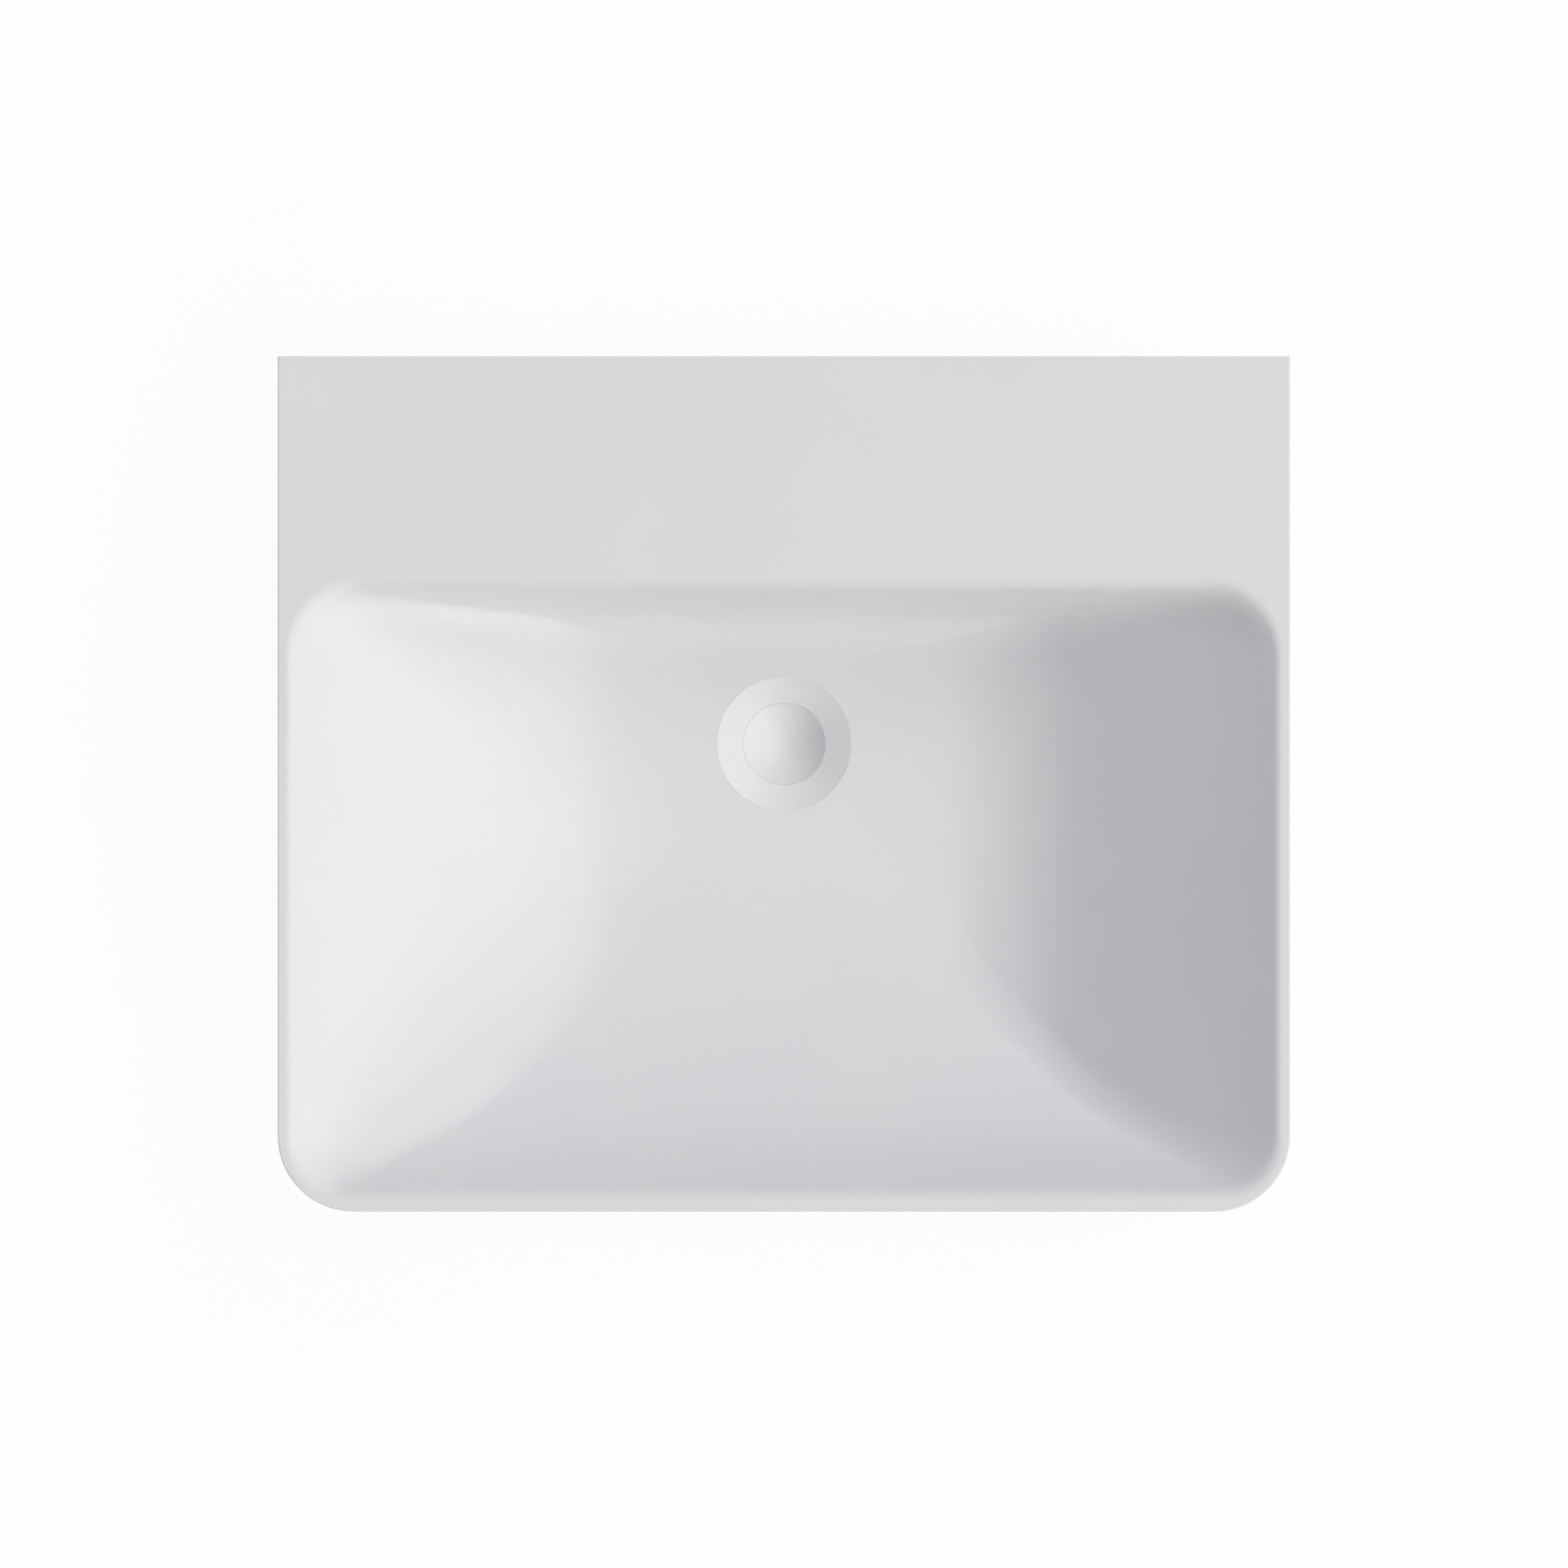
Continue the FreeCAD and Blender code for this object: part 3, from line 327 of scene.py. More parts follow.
def chain(bm, points, closed=True):  # wire through points, in metres
    corners = [bm.verts.new(point) for point in points]
    for pair in zip(corners, corners[1:]):
        bm.edges.new(pair)
    if closed:
        bm.edges.new((corners[-1], corners[0]))
    return corners


def roundCorners(bm, corners, radius, segments=3):  # radius in millimetres
    bmesh.ops.bevel(bm, geom=corners, offset=radius * mm, offset_type="OFFSET", segments=segments,
                    profile=0.5, affect="VERTICES", material=-1, clamp_overlap=True)


def extrudeUp(bm, faces, height):  # faces raised into a block, height in millimetres
    raised = bmesh.ops.extrude_face_region(bm, geom=faces, use_keep_orig=True)["geom"]
    bmesh.ops.translate(bm, verts=only(bmesh.types.BMVert, raised), vec=(0, 0, height * mm))


def levelEdges(bm, z, reach):  # edges that lie at one height
    return [edge for edge in bm.edges if all(abs(vert.co.z - z) < reach * mm for vert in edge.verts)]


def bridgeAll(bm, loops):
    for upper, lower in zip(loops, loops[1:]):
        bmesh.ops.bridge_loops(bm, edges=upper + lower)


def countOpen(bm):
    return sum(not edge.is_manifold for edge in bm.edges)


def wastePoint(radius, drop):  # by radius and by drop below the floor, in millimetres
    return Vector((radius * mm, wasteY, floorZ - drop * mm))


def dropOf(node, end):  # drop of a node's top (1) or bottom (0), in millimetres
    return (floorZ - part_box(node)[end].z) / mm


def wasteChain(bm, section, closed=True):  # wire through radii and drops
    return chain(bm, [wastePoint(*point) for point in section], closed)


def ringSection(inner, outer, top, end):
    return [(inner, top), (outer, top), (outer, end), (inner, end)]


def spinRound(bm, steps):  # the whole wire, once round the waste's axis
    bmesh.ops.spin(bm, geom=bm.verts[:] + bm.edges[:], cent=(0, wasteY, 0), axis=(0, 0, 1),
                   angle=math.tau, steps=steps, use_merge=True)
    merge(bm)


def turned(section, rounding=0.0, steps=96, closed=True):  # open sections end on the axis
    bm = bmesh.new()
    corners = wasteChain(bm, section, closed)
    if rounding:
        roundCorners(bm, corners, rounding)
    spinRound(bm, steps)
    return bm


def addRing(bm, radius, drop, segments):  # level circle about the waste's axis
    place = Matrix.Translation(wastePoint(0, drop))
    made = bmesh.ops.create_circle(bm, cap_ends=False, segments=segments, radius=radius * mm, matrix=place)
    return list({edge for vert in made["verts"] for edge in vert.link_edges})


def addArc(bm, centreDrop, radius, reach, steps):  # bowl-shaped arc from the axis out to a reach
    centre = wastePoint(0, centreDrop)
    foot = bm.verts.new(centre - Vector((0, 0, radius * mm)))
    made = bmesh.ops.spin(bm, geom=[foot], cent=centre, axis=(0, 1, 0), angle=-math.asin(reach / radius),
                          steps=steps)
    return only(bmesh.types.BMVert, made["geom_last"])[0]


def asTool(name, bm):
    bmesh.ops.recalc_face_normals(bm, faces=bm.faces)
    return asObject(name, bm)


def boxTool(name, place, size):
    bm = bmesh.new()
    stretch = Matrix.Diagonal((*[side * mm for side in size], 1.0))
    bmesh.ops.create_cube(bm, size=1.0, matrix=place @ stretch)
    return asTool(name, bm)


def coneTool(name, place, lowRadius, highRadius, height, segments):
    bm = bmesh.new()
    bmesh.ops.create_cone(bm, cap_ends=True, segments=segments, radius1=lowRadius * mm, radius2=highRadius * mm,
                          depth=height * mm, matrix=place)
    return asTool(name, bm)


def carve(target, work):  # joins, cuts or keeps what is common with each tool, in turn
    for operation, tool in work:
        step = target.modifiers.new(tool.name, "BOOLEAN")
        step.operation = operation
        step.solver = "EXACT"
        step.object = tool
    ready = target.evaluated_get(bpy.context.evaluated_depsgraph_get())
    bm = bmesh.new()
    bm.from_mesh(ready.to_mesh())
    ready.to_mesh_clear()
    for used in [target] + [tool for operation, tool in work]:
        bpy.data.meshes.remove(used.data)
    merge(bm, near["seam"])
    bmesh.ops.dissolve_degenerate(bm, edges=bm.edges, dist=near["merge"] * mm)
    return bm


def copyNode(name):  # merged copy of a CAD node's mesh
    bm = bmesh.new()
    bm.from_mesh(nodes[name].data)
    merge(bm)
    return bm


# ceramic basin

basin = {
    "width": 600.0, "depth": 507.0, "rimZ": 65.0, "baseZ": -70.0, "frontCorner": 45.0, "frontSteps": 16,
    "topEdge": 0.8, "baseEdge": 1.5, "edgeSteps": 4, "wallClear": 1.0,
    "sideRim": 7.2, "frontRim": 11.4, "deck": 137.7, "rimRound": 10.0, "rimTurns": range(0, 81, 6),
    "bowlDeep": 92.5, "bowlStop": 0.4, "fall": 2.0, "wallSteps": 36,
    "rimCorner": {"front": 34.0, "rear": 45.0}, "valley": 18.0, "valleyDeep": 45.0,  # corners narrow with depth
    "cornerLimit": 0.95, "cornerSteps": 20,
    "skin": 12.0, "skinTop": -2.0, "padDeep": 102.5, "skinSteps": 24, "skinCornerSteps": 10,
    "apron": 12.0, "back": 18.0, "deckWall": 16.0, "webAt": 200.0, "webWall": 12.0, "webFoot": -36.0,
    "boss": (44.0, 53.0), "bossDrop": 38.0, "bossSteps": 96,
    "recess": ((41.06, 0.0), (41.06, 4.1), (28.4, 8.86), (28.4, 13.54), (23.055, 18.59), (23.055, 41.0)),
    "fixingAt": 140.0, "fixingHole": 8.0, "fixingSteps": 48,
}
walls = {  # angle below the rim, round at the foot, and run from the rim to the waste
    "side": {"angle": 30.0, "sweep": 165.0, "run": 251.8},
    "front": {"angle": 54.0, "sweep": 150.0, "run": 225.6},
    "rear": {"angle": 80.0, "sweep": 29.0, "run": 50.3},
}


def wallInset(wall, deep, skin):  # how far in from the rim the wall stands at a depth
    angle, fall = math.radians(wall["angle"]), math.radians(basin["fall"])
    lip, foot = basin["rimRound"], wall["sweep"] + skin
    floorSide = wall["sweep"] + wall["run"] * math.sin(fall) - basin["bowlDeep"] * math.cos(fall)
    centreIn = (wall["sweep"] * math.cos(fall) - floorSide * math.cos(angle)) / math.sin(angle - fall)
    centreDeep = (wall["sweep"] * math.sin(fall) - floorSide * math.sin(angle)) / math.sin(angle - fall)
    if not skin and deep < lip * (1 - math.cos(angle)):  # rounded rim
        return math.sqrt(lip ** 2 - (lip - deep) ** 2) - lip * math.tan(angle / 2)
    if deep <= centreDeep + foot * math.cos(angle):  # straight wall
        return (deep * math.cos(angle) - skin) / math.sin(angle)
    if deep <= centreDeep + foot * math.cos(fall):  # sweep into the floor
        return centreIn - math.sqrt(foot ** 2 - (deep - centreDeep) ** 2)
    return wall["run"] + ((deep - basin["bowlDeep"]) * math.cos(fall) - skin) / math.sin(fall)


def addContour(bm, deep, skin, steps):  # level outline of the bowl, or of its underside
    half = basin["width"] / 2 - basin["sideRim"] - wallInset(walls["side"], deep, skin)
    frontY = basin["frontRim"] - basin["depth"] + wallInset(walls["front"], deep, skin)
    rearY = -basin["deck"] - wallInset(walls["rear"], deep, skin)
    widest = basin["cornerLimit"] * min(half, (rearY - frontY) / 2)
    before = set(bm.edges)
    places = ((half, frontY), (-half, frontY), (-half, rearY), (half, rearY))
    corners = chain(bm, [Vector((x, y, basin["rimZ"] - deep)) * mm for x, y in places])
    narrowing = max(0.0, 1 - max(deep, 0.0) / basin["valleyDeep"]) ** 2
    for end, pair in (("front", corners[:2]), ("rear", corners[2:])):
        radius = basin["valley"] + (basin["rimCorner"][end] - basin["valley"]) * narrowing
        roundCorners(bm, pair, min(radius + skin, widest), steps)
    return [edge for edge in bm.edges if edge not in before]


def bowlTool():  # the bowl's inside, from its rounded rim down through the seat for the waste
    lip, steps, count = basin["rimRound"], basin["cornerSteps"], basin["wallSteps"]
    bm = bmesh.new()
    rim = [lip * (1 - math.cos(math.radians(turn))) for turn in basin["rimTurns"]]
    rim += [lip * (1 - math.cos(math.radians(wall["angle"]))) for wall in walls.values()]
    reach = basin["bowlDeep"] - basin["bowlStop"] - max(rim)
    turns = [math.pi / 2 * (step + 1) / count for step in range(count)]
    levels = sorted(set(round(deep, 4) for deep in rim + [max(rim) + reach * math.sin(turn) for turn in turns]))
    loops = [addContour(bm, deep, 0.0, steps) for deep in levels]
    loops += [addRing(bm, radius, drop, 4 * steps + 4) for radius, drop in basin["recess"]]  # as many corners
    bridgeAll(bm, loops)
    bmesh.ops.edgeloop_fill(bm, edges=loops[-1])
    above = bmesh.ops.extrude_edge_only(bm, edges=loops[0])["geom"]
    bmesh.ops.translate(bm, verts=only(bmesh.types.BMVert, above), vec=(0, 0, overrun * mm))
    bmesh.ops.edgeloop_fill(bm, edges=only(bmesh.types.BMEdge, above))
    return asTool("bowlTool", bm)


def skinTool():  # the bowl's outside, down to the level pad round the waste
    count = basin["skinSteps"]
    bm = bmesh.new()
    turns = [math.pi / 2 * step / count for step in range(count + 1)]
    levels = [basin["skinTop"]] + [basin["padDeep"] * math.sin(turn) for turn in turns]
    loops = [addContour(bm, deep, basin["skin"], basin["skinCornerSteps"]) for deep in levels]
    bridgeAll(bm, loops)
    for end in (loops[0], loops[-1]):
        bmesh.ops.edgeloop_fill(bm, edges=end)
    return asTool("skinTool", bm)


def planBlock(inset, rear, frontRadius, lowZ, highZ):  # square at the wall, round in front
    bm = bmesh.new()
    half, frontY = basin["width"] / 2 - inset, inset - basin["depth"]
    places = ((half, frontY), (-half, frontY), (-half, -rear), (half, -rear))
    corners = chain(bm, [Vector((x, y, lowZ)) * mm for x, y in places])
    roundCorners(bm, corners[:2], frontRadius, basin["frontSteps"])
    extrudeUp(bm, bmesh.ops.edgeloop_fill(bm, edges=bm.edges)["faces"], highZ - lowZ)
    return bm


def roundEdges(bm, z, radius):  # level edges at one height, but not along the wall
    level = levelEdges(bm, z * mm, near["level"])
    loose = [edge for edge in level if min(vert.co.y for vert in edge.verts) < -basin["wallClear"] * mm]
    bmesh.ops.bevel(bm, geom=loose, offset=radius * mm, offset_type="OFFSET", segments=basin["edgeSteps"],
                    profile=0.5, affect="EDGES", material=-1, clamp_overlap=True)


def makeBasin():
    rimZ, baseZ, apron, back = basin["rimZ"], basin["baseZ"], basin["apron"], basin["back"]
    hollow = asTool("hollow", planBlock(apron, back, basin["frontCorner"] - apron,
                                        baseZ - overrun, rimZ - basin["deckWall"]))
    bossPlace = Matrix.Translation(wastePoint(0, basin["bossDrop"] / 2))
    kept = [skinTool(), coneTool("boss", bossPlace, *basin["boss"], basin["bossDrop"], basin["bossSteps"])]
    webSize = (basin["webWall"], basin["deck"] - back, rimZ - basin["webFoot"])
    webY, webZ = -(back + basin["deck"]) / 2, (rimZ + basin["webFoot"]) / 2
    holes = []
    for side in (-1, 1):
        place = Matrix.Translation(Vector((side * basin["webAt"], webY, webZ)) * mm)
        kept.append(boxTool("web", place, webSize))
        place = Matrix.Translation(Vector((side * basin["fixingAt"], -back / 2, 0)) * mm)
        place = place @ Matrix.Rotation(math.pi / 2, 4, "X")
        holes.append(coneTool("hole", place, basin["fixingHole"], basin["fixingHole"], back + 2 * overrun,
                              basin["fixingSteps"]))
    space = asTool("space", carve(hollow, [("DIFFERENCE", tool) for tool in kept]))
    block = planBlock(0, 0, basin["frontCorner"], baseZ, rimZ)
    roundEdges(block, rimZ, basin["topEdge"])
    roundEdges(block, baseZ, basin["baseEdge"])
    shell = carve(asTool("block", block), [("DIFFERENCE", tool) for tool in [space, bowlTool()] + holes])
    print("basin carved,", len(shell.faces), "faces,", countOpen(shell), "open edges")
    addPiece("basinShell", shell, glaze, "basin", ["basin_body"], sharp=32)


makeBasin()


# waste: fixed pieces

flange = {
    "radius": 41.0, "dish": 6.0, "edge": 2.6, "throat": 25.1, "throatDeep": 12.0, "bore": 18.0, "seatEnd": 19.1,
    "shoulder": 20.7, "neckBore": 21.055, "neck": 22.755, "neckEnd": 36.0, "wall": 3.0, "steps": 144,
    "edgeRound": 0.12, "throatRound": 0.5, "throatSteps": 5,
    "gasket": (29.1, 40.0, 1.4), "gasketGap": 0.05, "gasketRound": 0.3,  # gasket: two radii and thickness
}


def underFlange(radius):  # drop of the flange's underside
    return flange["edge"] + (flange["radius"] - radius) * flange["dish"] / (flange["radius"] - flange["throat"])


def makeFlange():
    outer = flange["throat"] + flange["wall"]
    slantTop = flange["throatDeep"] - flange["wall"] + flange["wall"] * math.sqrt(2)
    section = [
        (flange["radius"], 0.0), (flange["throat"], flange["dish"]), (flange["throat"], flange["throatDeep"]),
        (flange["bore"], flange["seatEnd"]), (flange["bore"], flange["shoulder"]),
        (flange["neckBore"], flange["shoulder"]), (flange["neckBore"], flange["neckEnd"]),
        (flange["neck"], flange["neckEnd"]), (flange["neck"], slantTop + outer - flange["neck"]),
        (outer, slantTop), (outer, underFlange(outer)), (flange["radius"], flange["edge"]),
    ]
    bm = bmesh.new()
    corners = wasteChain(bm, section)
    roundCorners(bm, corners[1:2], flange["throatRound"], flange["throatSteps"])
    roundCorners(bm, corners[:1] + corners[2:], flange["edgeRound"])
    spinRound(bm, flange["steps"])
    addPiece("dishedFlange", bm, flangeCoatAndPaintedLight, "basin", ["waste_flange"], sharp=50)
    inner, outer, thick = flange["gasket"]
    innerTop, outerTop = [underFlange(radius) + flange["gasketGap"] for radius in (inner, outer)]
    section = [(outer, outerTop), (inner, innerTop), (inner, innerTop + thick), (outer, outerTop + thick)]
    gasket = turned(section, flange["gasketRound"])
    addPiece("flangeGasket", gasket, blackRubber, "basin", ["flange_gasket"])


tube = {
    "bore": 18.0, "crest": 20.955, "root": 19.48, "relief": 19.255, "reliefAt": (61.0, 64.0), "pitch": 2.309,
    "crestFlat": 0.45, "rootFlat": 0.35, "steps": 72, "chamfer": 1.0,
    "hub": (9.05, 11.55, 10.0), "hubRound": 0.4, "spoke": (3.0, 8.0), "spokes": 3,
}


def cutLevel(bm, drop, way, clear):  # level cut at a drop, which can clear away one side
    bmesh.ops.bisect_plane(bm, geom=bm.verts[:] + bm.edges[:] + bm.faces[:], plane_co=wastePoint(0, drop),
                           plane_no=(0, 0, way), clear_outer=clear, dist=near["cut"] * mm)


def threadPart(top, end):  # screw thread between two drops, open at both ends
    root, crest, pitch = tube["root"], tube["crest"], tube["pitch"]
    flank = (pitch - tube["crestFlat"] - tube["rootFlat"]) / 2
    points = []
    for turn in range(math.ceil((end - top) / pitch) + 2):  # a turn past each end, cut off below
        start = top + (turn - 1) * pitch
        rise = start + tube["rootFlat"]
        crestAt = rise + flank
        points += [(root, start), (root, rise), (crest, crestAt), (crest, crestAt + tube["crestFlat"])]
    bm = bmesh.new()
    wasteChain(bm, points, False)
    bmesh.ops.spin(bm, geom=bm.verts[:] + bm.edges[:], cent=(0, wasteY, 0), axis=(0, 0, 1), angle=math.tau,
                   dvec=(0, 0, -pitch * mm / tube["steps"]), steps=tube["steps"])
    merge(bm, near["thread"])
    cutLevel(bm, top, 1, True)
    cutLevel(bm, end, -1, True)
    return bm


def joinIn(bm, part):
    mesh = bpy.data.meshes.new("part")
    part.to_mesh(mesh)
    part.free()
    bm.from_mesh(mesh)
    bpy.data.meshes.remove(mesh)


def openRim(bm, drop):  # open edges at one level
    return [edge for edge in levelEdges(bm, floorZ - drop * mm, near["rim"]) if edge.is_boundary]


def makeTube():
    top, end = dropOf("waste_tube", 1), dropOf("waste_tube", 0)
    upper, lower = tube["reliefAt"]
    chamferTop = end - tube["chamfer"]
    tail = threadPart(lower, end)
    cutLevel(tail, chamferTop, 1, False)
    for vert in tail.verts:  # chamfered end
        past = (floorZ - vert.co.z) / mm - chamferTop
        reach = Vector((vert.co.x, vert.co.y - wasteY)).length / mm
        limit = tube["crest"] - max(past, 0.0)
        if reach > limit:
            vert.co.x *= limit / reach
            vert.co.y = wasteY + (vert.co.y - wasteY) * limit / reach
    bm = bmesh.new()
    joinIn(bm, threadPart(top, upper))
    joinIn(bm, tail)
    topRim, upperRim, lowerRim, endRim = [openRim(bm, drop) for drop in (top, upper, lower, end)]
    bores = [addRing(bm, tube["bore"], drop, tube["steps"]) for drop in (top, end)]
    reliefs = [addRing(bm, tube["relief"], drop, tube["steps"]) for drop in (upper, lower)]
    for outer, inner in zip((topRim, upperRim, lowerRim, endRim), (bores[0], *reliefs, bores[1])):
        bmesh.ops.triangle_fill(bm, edges=outer + inner, use_beauty=True, use_dissolve=False, normal=(0, 0, 1))
    bridgeAll(bm, bores)
    bridgeAll(bm, reliefs)
    print("tube threaded,", len(bm.faces), "faces,", countOpen(bm), "open edges")
    addPiece("threadedTube", bm, plate, "basin", ["waste_tube"], sharp=40)


def makeSpider():  # hub for the cartridge, on spokes
    inner, outer, height = tube["hub"]
    hubTop = dropOf("collar_washer", 0)
    section = ringSection(inner, outer, hubTop, hubTop + height)
    hub = asTool("hub", turned(section, tube["hubRound"], tube["steps"]))
    wide, high = tube["spoke"]
    start, reach = (inner + outer) / 2, (tube["bore"] + tube["relief"]) / 2
    spokes = []
    for index in range(tube["spokes"]):
        turn = Matrix.Rotation(math.tau * index / tube["spokes"], 4, "Z")
        place = Matrix.Translation(wastePoint(0, hubTop + height / 2)) @ turn
        place = place @ Matrix.Translation(Vector(((start + reach) / 2 * mm, 0, 0)))
        spokes.append(boxTool("spoke", place, (reach - start, wide, high)))
    spider = carve(hub, [("UNION", spoke) for spoke in spokes])
    addPiece("tubeSpider", spider, plate, "basin", ["waste_tube"], sharp=40)


nuts = {  # skirt by radius and height
    "backnut": {"flats": 54.0, "skirt": (30.0, 3.0), "bore": 21.055, "soften": 0.35},
    "lock_nut": {"flats": 13.0, "skirt": None, "bore": 4.05, "soften": 0.12},
}
hexagon = {"turn": 30.0, "chamfer": 30.0, "clear": 0.01, "boreSteps": 72}


def makeNut(name, node, finish, body):
    size = nuts[node]
    top, end = dropOf(node, 1), dropOf(node, 0)
    skirtEnd = top + size["skirt"][1] if size["skirt"] else top
    corner, flat = size["flats"] / math.sqrt(3), size["flats"] / 2
    slope = (corner - flat) * math.tan(math.radians(hexagon["chamfer"]))
    bm = bmesh.new()
    place = Matrix.Translation(wastePoint(0, end + overrun))
    place = place @ Matrix.Rotation(math.radians(hexagon["turn"]), 4, "Z")
    bmesh.ops.create_circle(bm, cap_ends=True, segments=6, radius=corner * mm, matrix=place)
    extrudeUp(bm, bm.faces[:], end - skirtEnd + 2 * overrun)
    widest = corner + hexagon["clear"]
    cone = turned([(0, skirtEnd), (flat, skirtEnd), (widest, skirtEnd + slope), (widest, end - slope),
                   (flat, end), (0, end)], closed=False)
    work = [("INTERSECT", asTool("cone", cone))]
    if size["skirt"]:
        skirt = turned(ringSection(0, size["skirt"][0], top, skirtEnd), closed=False)
        work.append(("UNION", asTool("skirt", skirt)))
    section = ringSection(0, size["bore"], top - overrun, end + overrun)
    work.append(("DIFFERENCE", asTool("bore", turned(section, steps=hexagon["boreSteps"], closed=False))))
    nut = carve(asTool("hexBar", bm), work)
    addPiece(name, nut, finish, body, [node], sharp=28, soften=size["soften"])


clamp = {"inner": 21.055, "nose": (22.95, 36.4), "reach": 30.0, "bossDrop": 38.0, "gasketRound": 0.5,
         "washerRound": 0.25}  # nose: radius and drop


def makeClamp():
    low = dropOf("lower_gasket", 0)
    nose, noseDrop = clamp["nose"]
    section = [(clamp["inner"], noseDrop), (nose, noseDrop), (nose, clamp["bossDrop"]),
               (clamp["reach"], clamp["bossDrop"]), (clamp["reach"], low), (clamp["inner"], low)]
    gasket = turned(section, clamp["gasketRound"])
    addPiece("underGasket", gasket, blackRubber, "basin", ["lower_gasket"])
    section = ringSection(clamp["inner"], clamp["reach"], dropOf("slip_washer", 1), dropOf("slip_washer", 0))
    washer = turned(section, clamp["washerRound"])
    addPiece("slipWasher", washer, whiteNylon, "basin", ["slip_washer"])
    makeNut("hexBacknut", "backnut", brass, "basin")


makeFlange()
makeTube()
makeSpider()
makeClamp()
print("waste made")


# plug

plug = {
    "dish": 32.0, "wall": 3.0, "lip": 0.2, "flare": 0.15, "capRound": 0.1, "capSteps": 144,
    "dishSteps": 28, "underSteps": 20, "bond": 0.05, "carrier": 16.5, "carrierRound": 0.15, "carrierSteps": 96,
    "carrierLip": (17.2, 3.4), "boss": (7.5, 7.0), "socket": (4.05, 6.8), "bedSteps": 16,  # radius and height
    "seal": (16.55, 22.0), "sealGap": 0.2, "sealRound": 0.12,
}


def makePlug():
    top, low = dropOf("plug_cap", 1), dropOf("plug_cap", 0)
    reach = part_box("plug_cap")[1].x / mm
    centre = low - plug["dish"] - plug["wall"]
    bm = bmesh.new()  # cap
    dishEnd = addArc(bm, centre, plug["dish"], reach - plug["lip"], plug["dishSteps"])
    underEnd = addArc(bm, centre, plug["dish"] + plug["wall"], reach, plug["underSteps"])
    corner = bm.verts.new(wastePoint(reach + plug["flare"], top))
    bm.edges.new((dishEnd, corner))
    bm.edges.new((corner, underEnd))
    roundCorners(bm, [corner], plug["capRound"])
    spinRound(bm, plug["capSteps"])
    addPiece("dishedCap", bm, capGlazeWithPaintedLight, "plug", ["plug_cap"], sharp=50)
    under = plug["dish"] + plug["wall"] + plug["bond"]
    bossEnd = dropOf("plug_carrier", 0)  # carrier
    boss, bossHigh = plug["boss"]
    lip, lipHigh = plug["carrierLip"]
    socket, socketDeep = plug["socket"]
    plateDrop = bossEnd - bossHigh
    bm = bmesh.new()
    rim = addArc(bm, centre, under, plug["carrier"], plug["bedSteps"])
    section = [(plug["carrier"], plateDrop - lipHigh), (lip, plateDrop - lipHigh), (lip, plateDrop),
               (boss, plateDrop), (boss, bossEnd), (socket, bossEnd), (socket, bossEnd - socketDeep),
               (0, bossEnd - socketDeep)]
    corners = wasteChain(bm, section, False)
    bm.edges.new((rim, corners[0]))
    roundCorners(bm, corners[1:-2], plug["carrierRound"], 2)
    spinRound(bm, plug["carrierSteps"])
    addPiece("capCarrier", bm, brass, "plug", ["plug_carrier"], sharp=40)
    inner, outer = plug["seal"]  # seal
    sealLow = plateDrop - lipHigh - plug["bond"]
    seat = flange["throatDeep"] + flange["throat"] - plug["sealGap"] * math.sqrt(2)
    outerTop, innerTop = [centre + math.sqrt(under ** 2 - radius ** 2) for radius in (outer, inner)]
    section = [(outer, outerTop), (outer, seat - outer), (seat - sealLow, sealLow), (inner, sealLow),
               (inner, innerTop)]
    seal = turned(section, plug["sealRound"])
    addPiece("coneSeal", seal, blackRubber, "plug", ["plug_seal"])
    makeNut("lockNut", "lock_nut", steel, "plug")


makePlug()

spring = {"wire": 1.1, "wireSteps": 14, "mean": 4.6, "turns": 4.5, "stepsPerTurn": 36}


def makeSpring():
    low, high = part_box("cartridge_spring")
    steps = round(spring["turns"] * spring["stepsPerTurn"])
    start, end = low.z + spring["wire"] / 2 * mm, high.z - spring["wire"] / 2 * mm
    bm = bmesh.new()
    place = Matrix.Translation((spring["mean"] * mm, wasteY, start)) @ Matrix.Rotation(math.pi / 2, 4, "X")
    bmesh.ops.create_circle(bm, cap_ends=True, segments=spring["wireSteps"], radius=spring["wire"] / 2 * mm,
                            matrix=place)
    bmesh.ops.spin(bm, geom=bm.faces[:], cent=(0, wasteY, 0), axis=(0, 0, 1), angle=math.tau * spring["turns"],
                   dvec=(0, 0, (end - start) / steps), steps=steps)
    piece = addPiece("coiledSpring", bm, wire, None, ["cartridge_spring"], sharp=50)
    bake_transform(piece)


makeSpring()

smallParts = {  # turned and moulded pieces that keep the CAD's own shape
    "wall_bushes": (whiteNylon, "white_nylon", "basin"),
    "tube_washer": (greyFibre, "grey_fibre", "basin"),
    "collar_washer": (greyFibre, "grey_fibre", "basin"),
    "cartridge_housing": (greyAcetal, "grey_acetal", "basin"),
    "cartridge_end_cap": (greyAcetal, "grey_acetal", "basin"),
    "index_rotor": (whiteNylon, "white_nylon", "plug"),
    "plug_spindle": (steel, "steel", "plug"),
}
for node, (finish, slotName, body) in smallParts.items():
    addPiece(node + "_smooth", copyNode(node), finish, body, [node], sharp=30)
print("plug and cartridge made")


# floor, light and camera

stage = {"side": 12.0, "gap": 0.05, "tint": (0.86, 0.86, 0.87), "rough": 0.9, "whiteShare": 0.95}


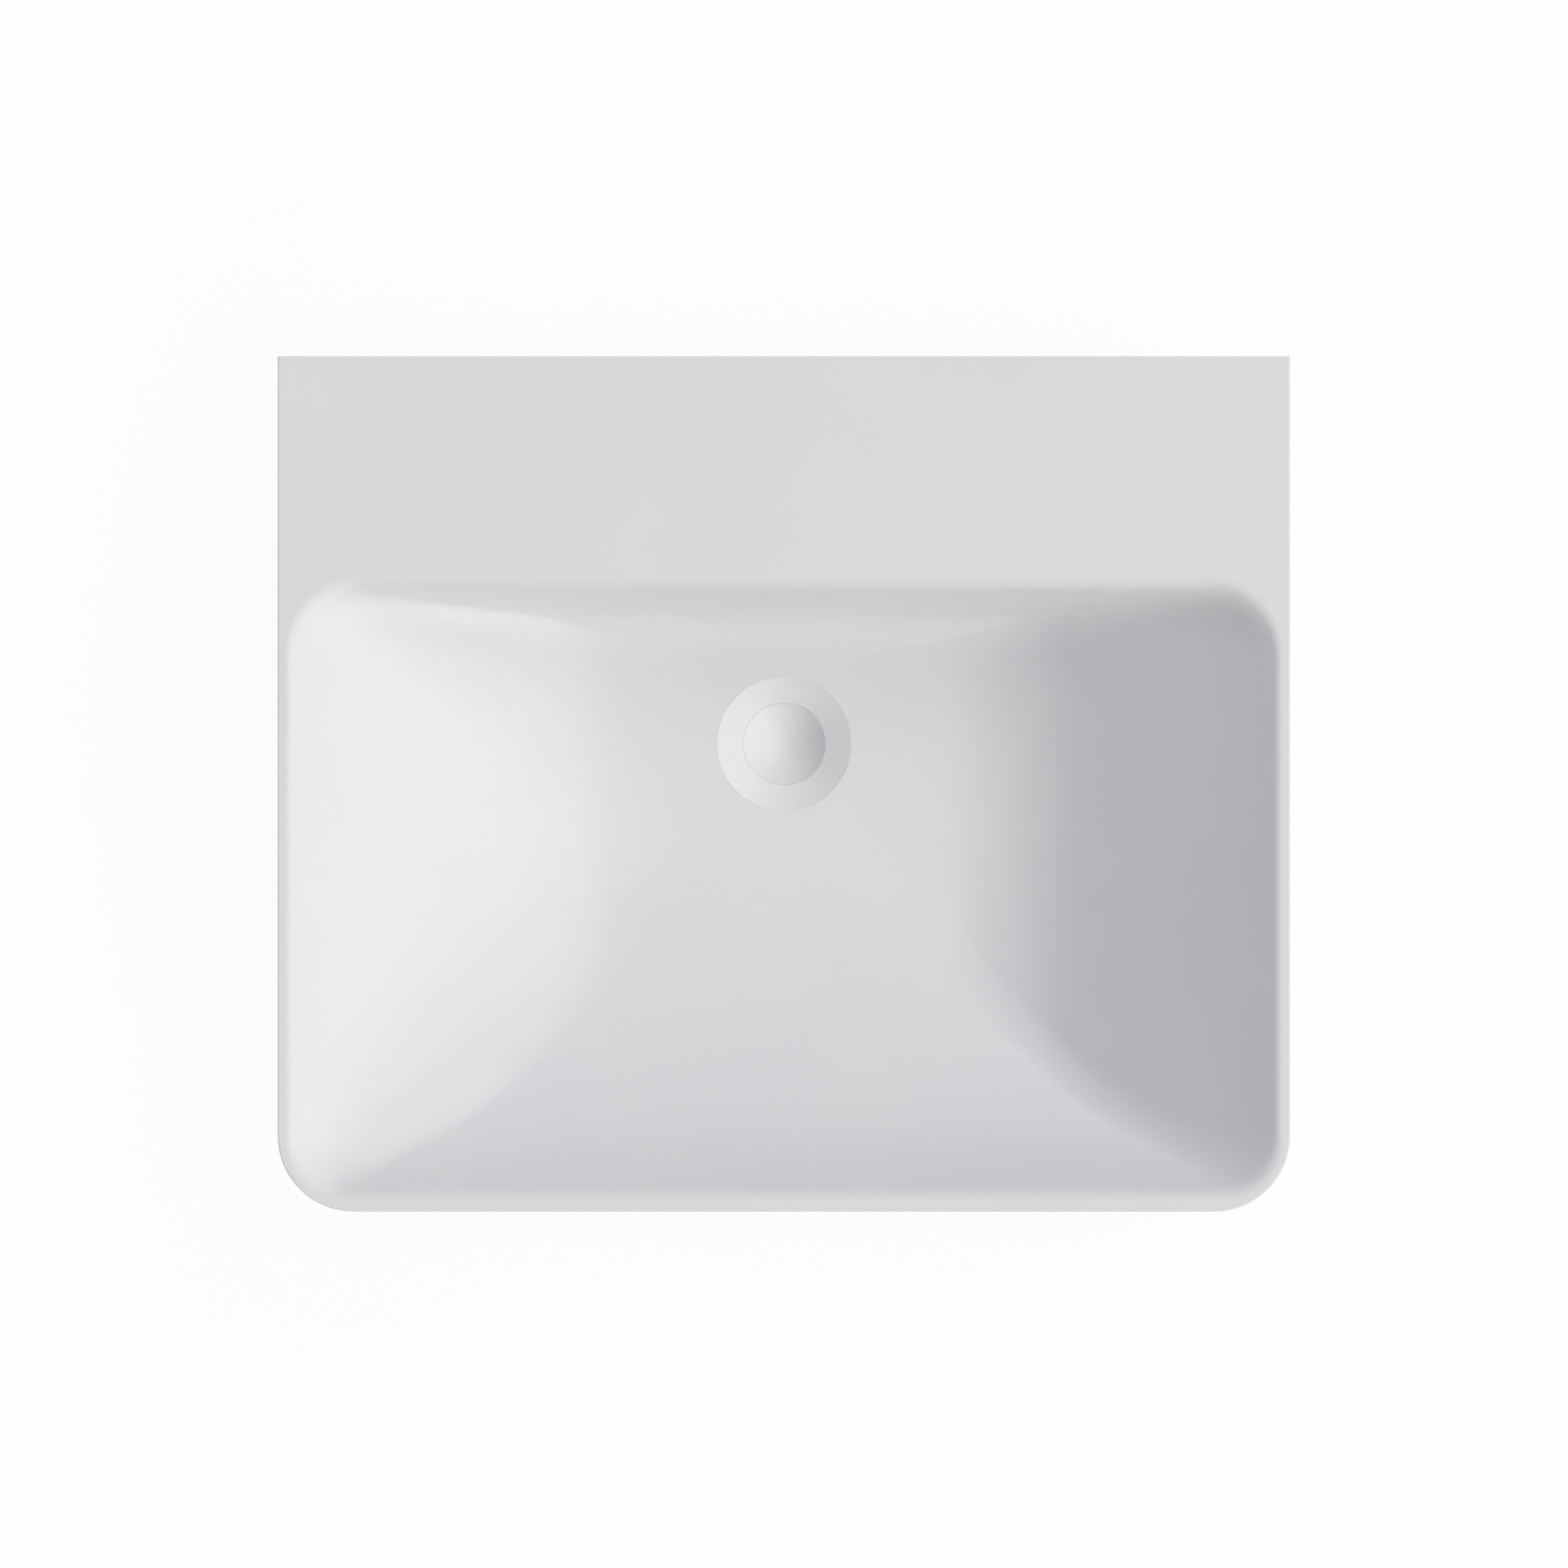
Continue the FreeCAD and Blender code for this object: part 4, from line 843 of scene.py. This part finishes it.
def makeFloor():
    bm = bmesh.new()
    bmesh.ops.create_grid(bm, x_segments=1, y_segments=1, size=stage["side"] / 2)
    bmesh.ops.translate(bm, verts=bm.verts, vec=(0, 0, cadLow.z - stage["gap"] * mm))
    floor = asObject("floor", bm)
    material = bpy.data.materials.new("paleFloor")
    material.use_nodes = True
    tree = material.node_tree
    shader = tree.nodes["Principled BSDF"]
    shader.inputs["Base Color"].default_value = (*stage["tint"], 1.0)
    shader.inputs["Roughness"].default_value = stage["rough"]
    path = tree.nodes.new("ShaderNodeLightPath")
    seen = addMath(tree, "MAXIMUM", path.outputs["Is Camera Ray"], path.outputs["Is Glossy Ray"])
    seen = addMath(tree, "MAXIMUM", seen, path.outputs["Is Transmission Ray"])
    white = tree.nodes.new("ShaderNodeEmission")
    shade = tree.nodes.new("ShaderNodeMixShader")  # white to the eye, with a trace of the object's shadow
    tree.links.new(addMath(tree, "MULTIPLY", seen, stage["whiteShare"]), shade.inputs["Fac"])
    tree.links.new(shader.outputs["BSDF"], shade.inputs[1])
    tree.links.new(white.outputs["Emission"], shade.inputs[2])
    clear = tree.nodes.new("ShaderNodeBsdfTransparent")
    side = tree.nodes.new("ShaderNodeNewGeometry")
    oneSided = tree.nodes.new("ShaderNodeMixShader")  # seen through from below
    tree.links.new(side.outputs["Backfacing"], oneSided.inputs["Fac"])
    tree.links.new(shade.outputs["Shader"], oneSided.inputs[1])
    tree.links.new(clear.outputs["BSDF"], oneSided.inputs[2])
    tree.links.new(oneSided.outputs["Shader"], tree.nodes["Material Output"].inputs["Surface"])
    floor.data.materials.append(material)


makeFloor()

light = {  # soft lamps, by their bearing from +X, height above the floor and width, in degrees
    "lamps": {
        "top": {"bearing": -10, "height": 70, "angle": 40, "energy": 1.15, "colour": (1.0, 0.982, 0.985)},
        "frontRight": {"bearing": -60, "height": 30, "angle": 50, "energy": 0.88, "colour": (1.0, 1.0, 0.98)},
        "lowRight": {"bearing": -50, "height": 19, "angle": 24, "energy": 0.46, "colour": (0.98, 1.0, 0.92)},
        "rearRight": {"bearing": 45, "height": 40, "angle": 40, "energy": 0.80, "colour": (0.99, 1.0, 0.935)},
        "rear": {"bearing": 78, "height": 35, "angle": 55, "energy": 0.48, "colour": (0.955, 0.926, 1.0)},
    },
    "room": {"strength": 0.092, "colour": (0.76, 0.78, 1.0)},
}


def makeLight():
    for name, look in light["lamps"].items():
        lamp = bpy.data.lights.new(name, "SUN")
        lamp.energy = look["energy"]
        lamp.angle = math.radians(look["angle"])
        lamp.color = look["colour"]
        holder = bpy.data.objects.new(name, lamp)
        holder.rotation_euler = (0, math.radians(90 - look["height"]), math.radians(look["bearing"]))
        scene.collection.objects.link(holder)
    world = bpy.data.worlds.new("room")
    world.use_nodes = True
    scene.world = world
    tree = world.node_tree
    room = tree.nodes["Background"]
    room.inputs["Color"].default_value = (*light["room"]["colour"], 1.0)
    room.inputs["Strength"].default_value = light["room"]["strength"]
    white = tree.nodes.new("ShaderNodeBackground")
    path = tree.nodes.new("ShaderNodeLightPath")
    seen = addMath(tree, "MAXIMUM", path.outputs["Is Camera Ray"], path.outputs["Is Transmission Ray"])
    mix = tree.nodes.new("ShaderNodeMixShader")
    tree.links.new(seen, mix.inputs["Fac"])
    tree.links.new(room.outputs["Background"], mix.inputs[1])
    tree.links.new(white.outputs["Background"], mix.inputs[2])
    tree.links.new(mix.outputs["Shader"], tree.nodes["World Output"].inputs["Surface"])


makeLight()

eye = {"reach": 3.0, "width": 929.24 * mm, "centreY": -253.5 * mm, "sensor": 36.0}


def makeCamera():
    lens = bpy.data.cameras.new("eye")
    lens.sensor_width = eye["sensor"]
    lens.lens = lens.sensor_width * eye["reach"] / eye["width"]
    camera = bpy.data.objects.new("eye", lens)
    camera.location = (0, eye["centreY"], cadHigh.z + eye["reach"])
    scene.collection.objects.link(camera)
    scene.camera = camera


makeCamera()
scene.view_settings.view_transform = "Standard"
print("floor, lamps and camera set")
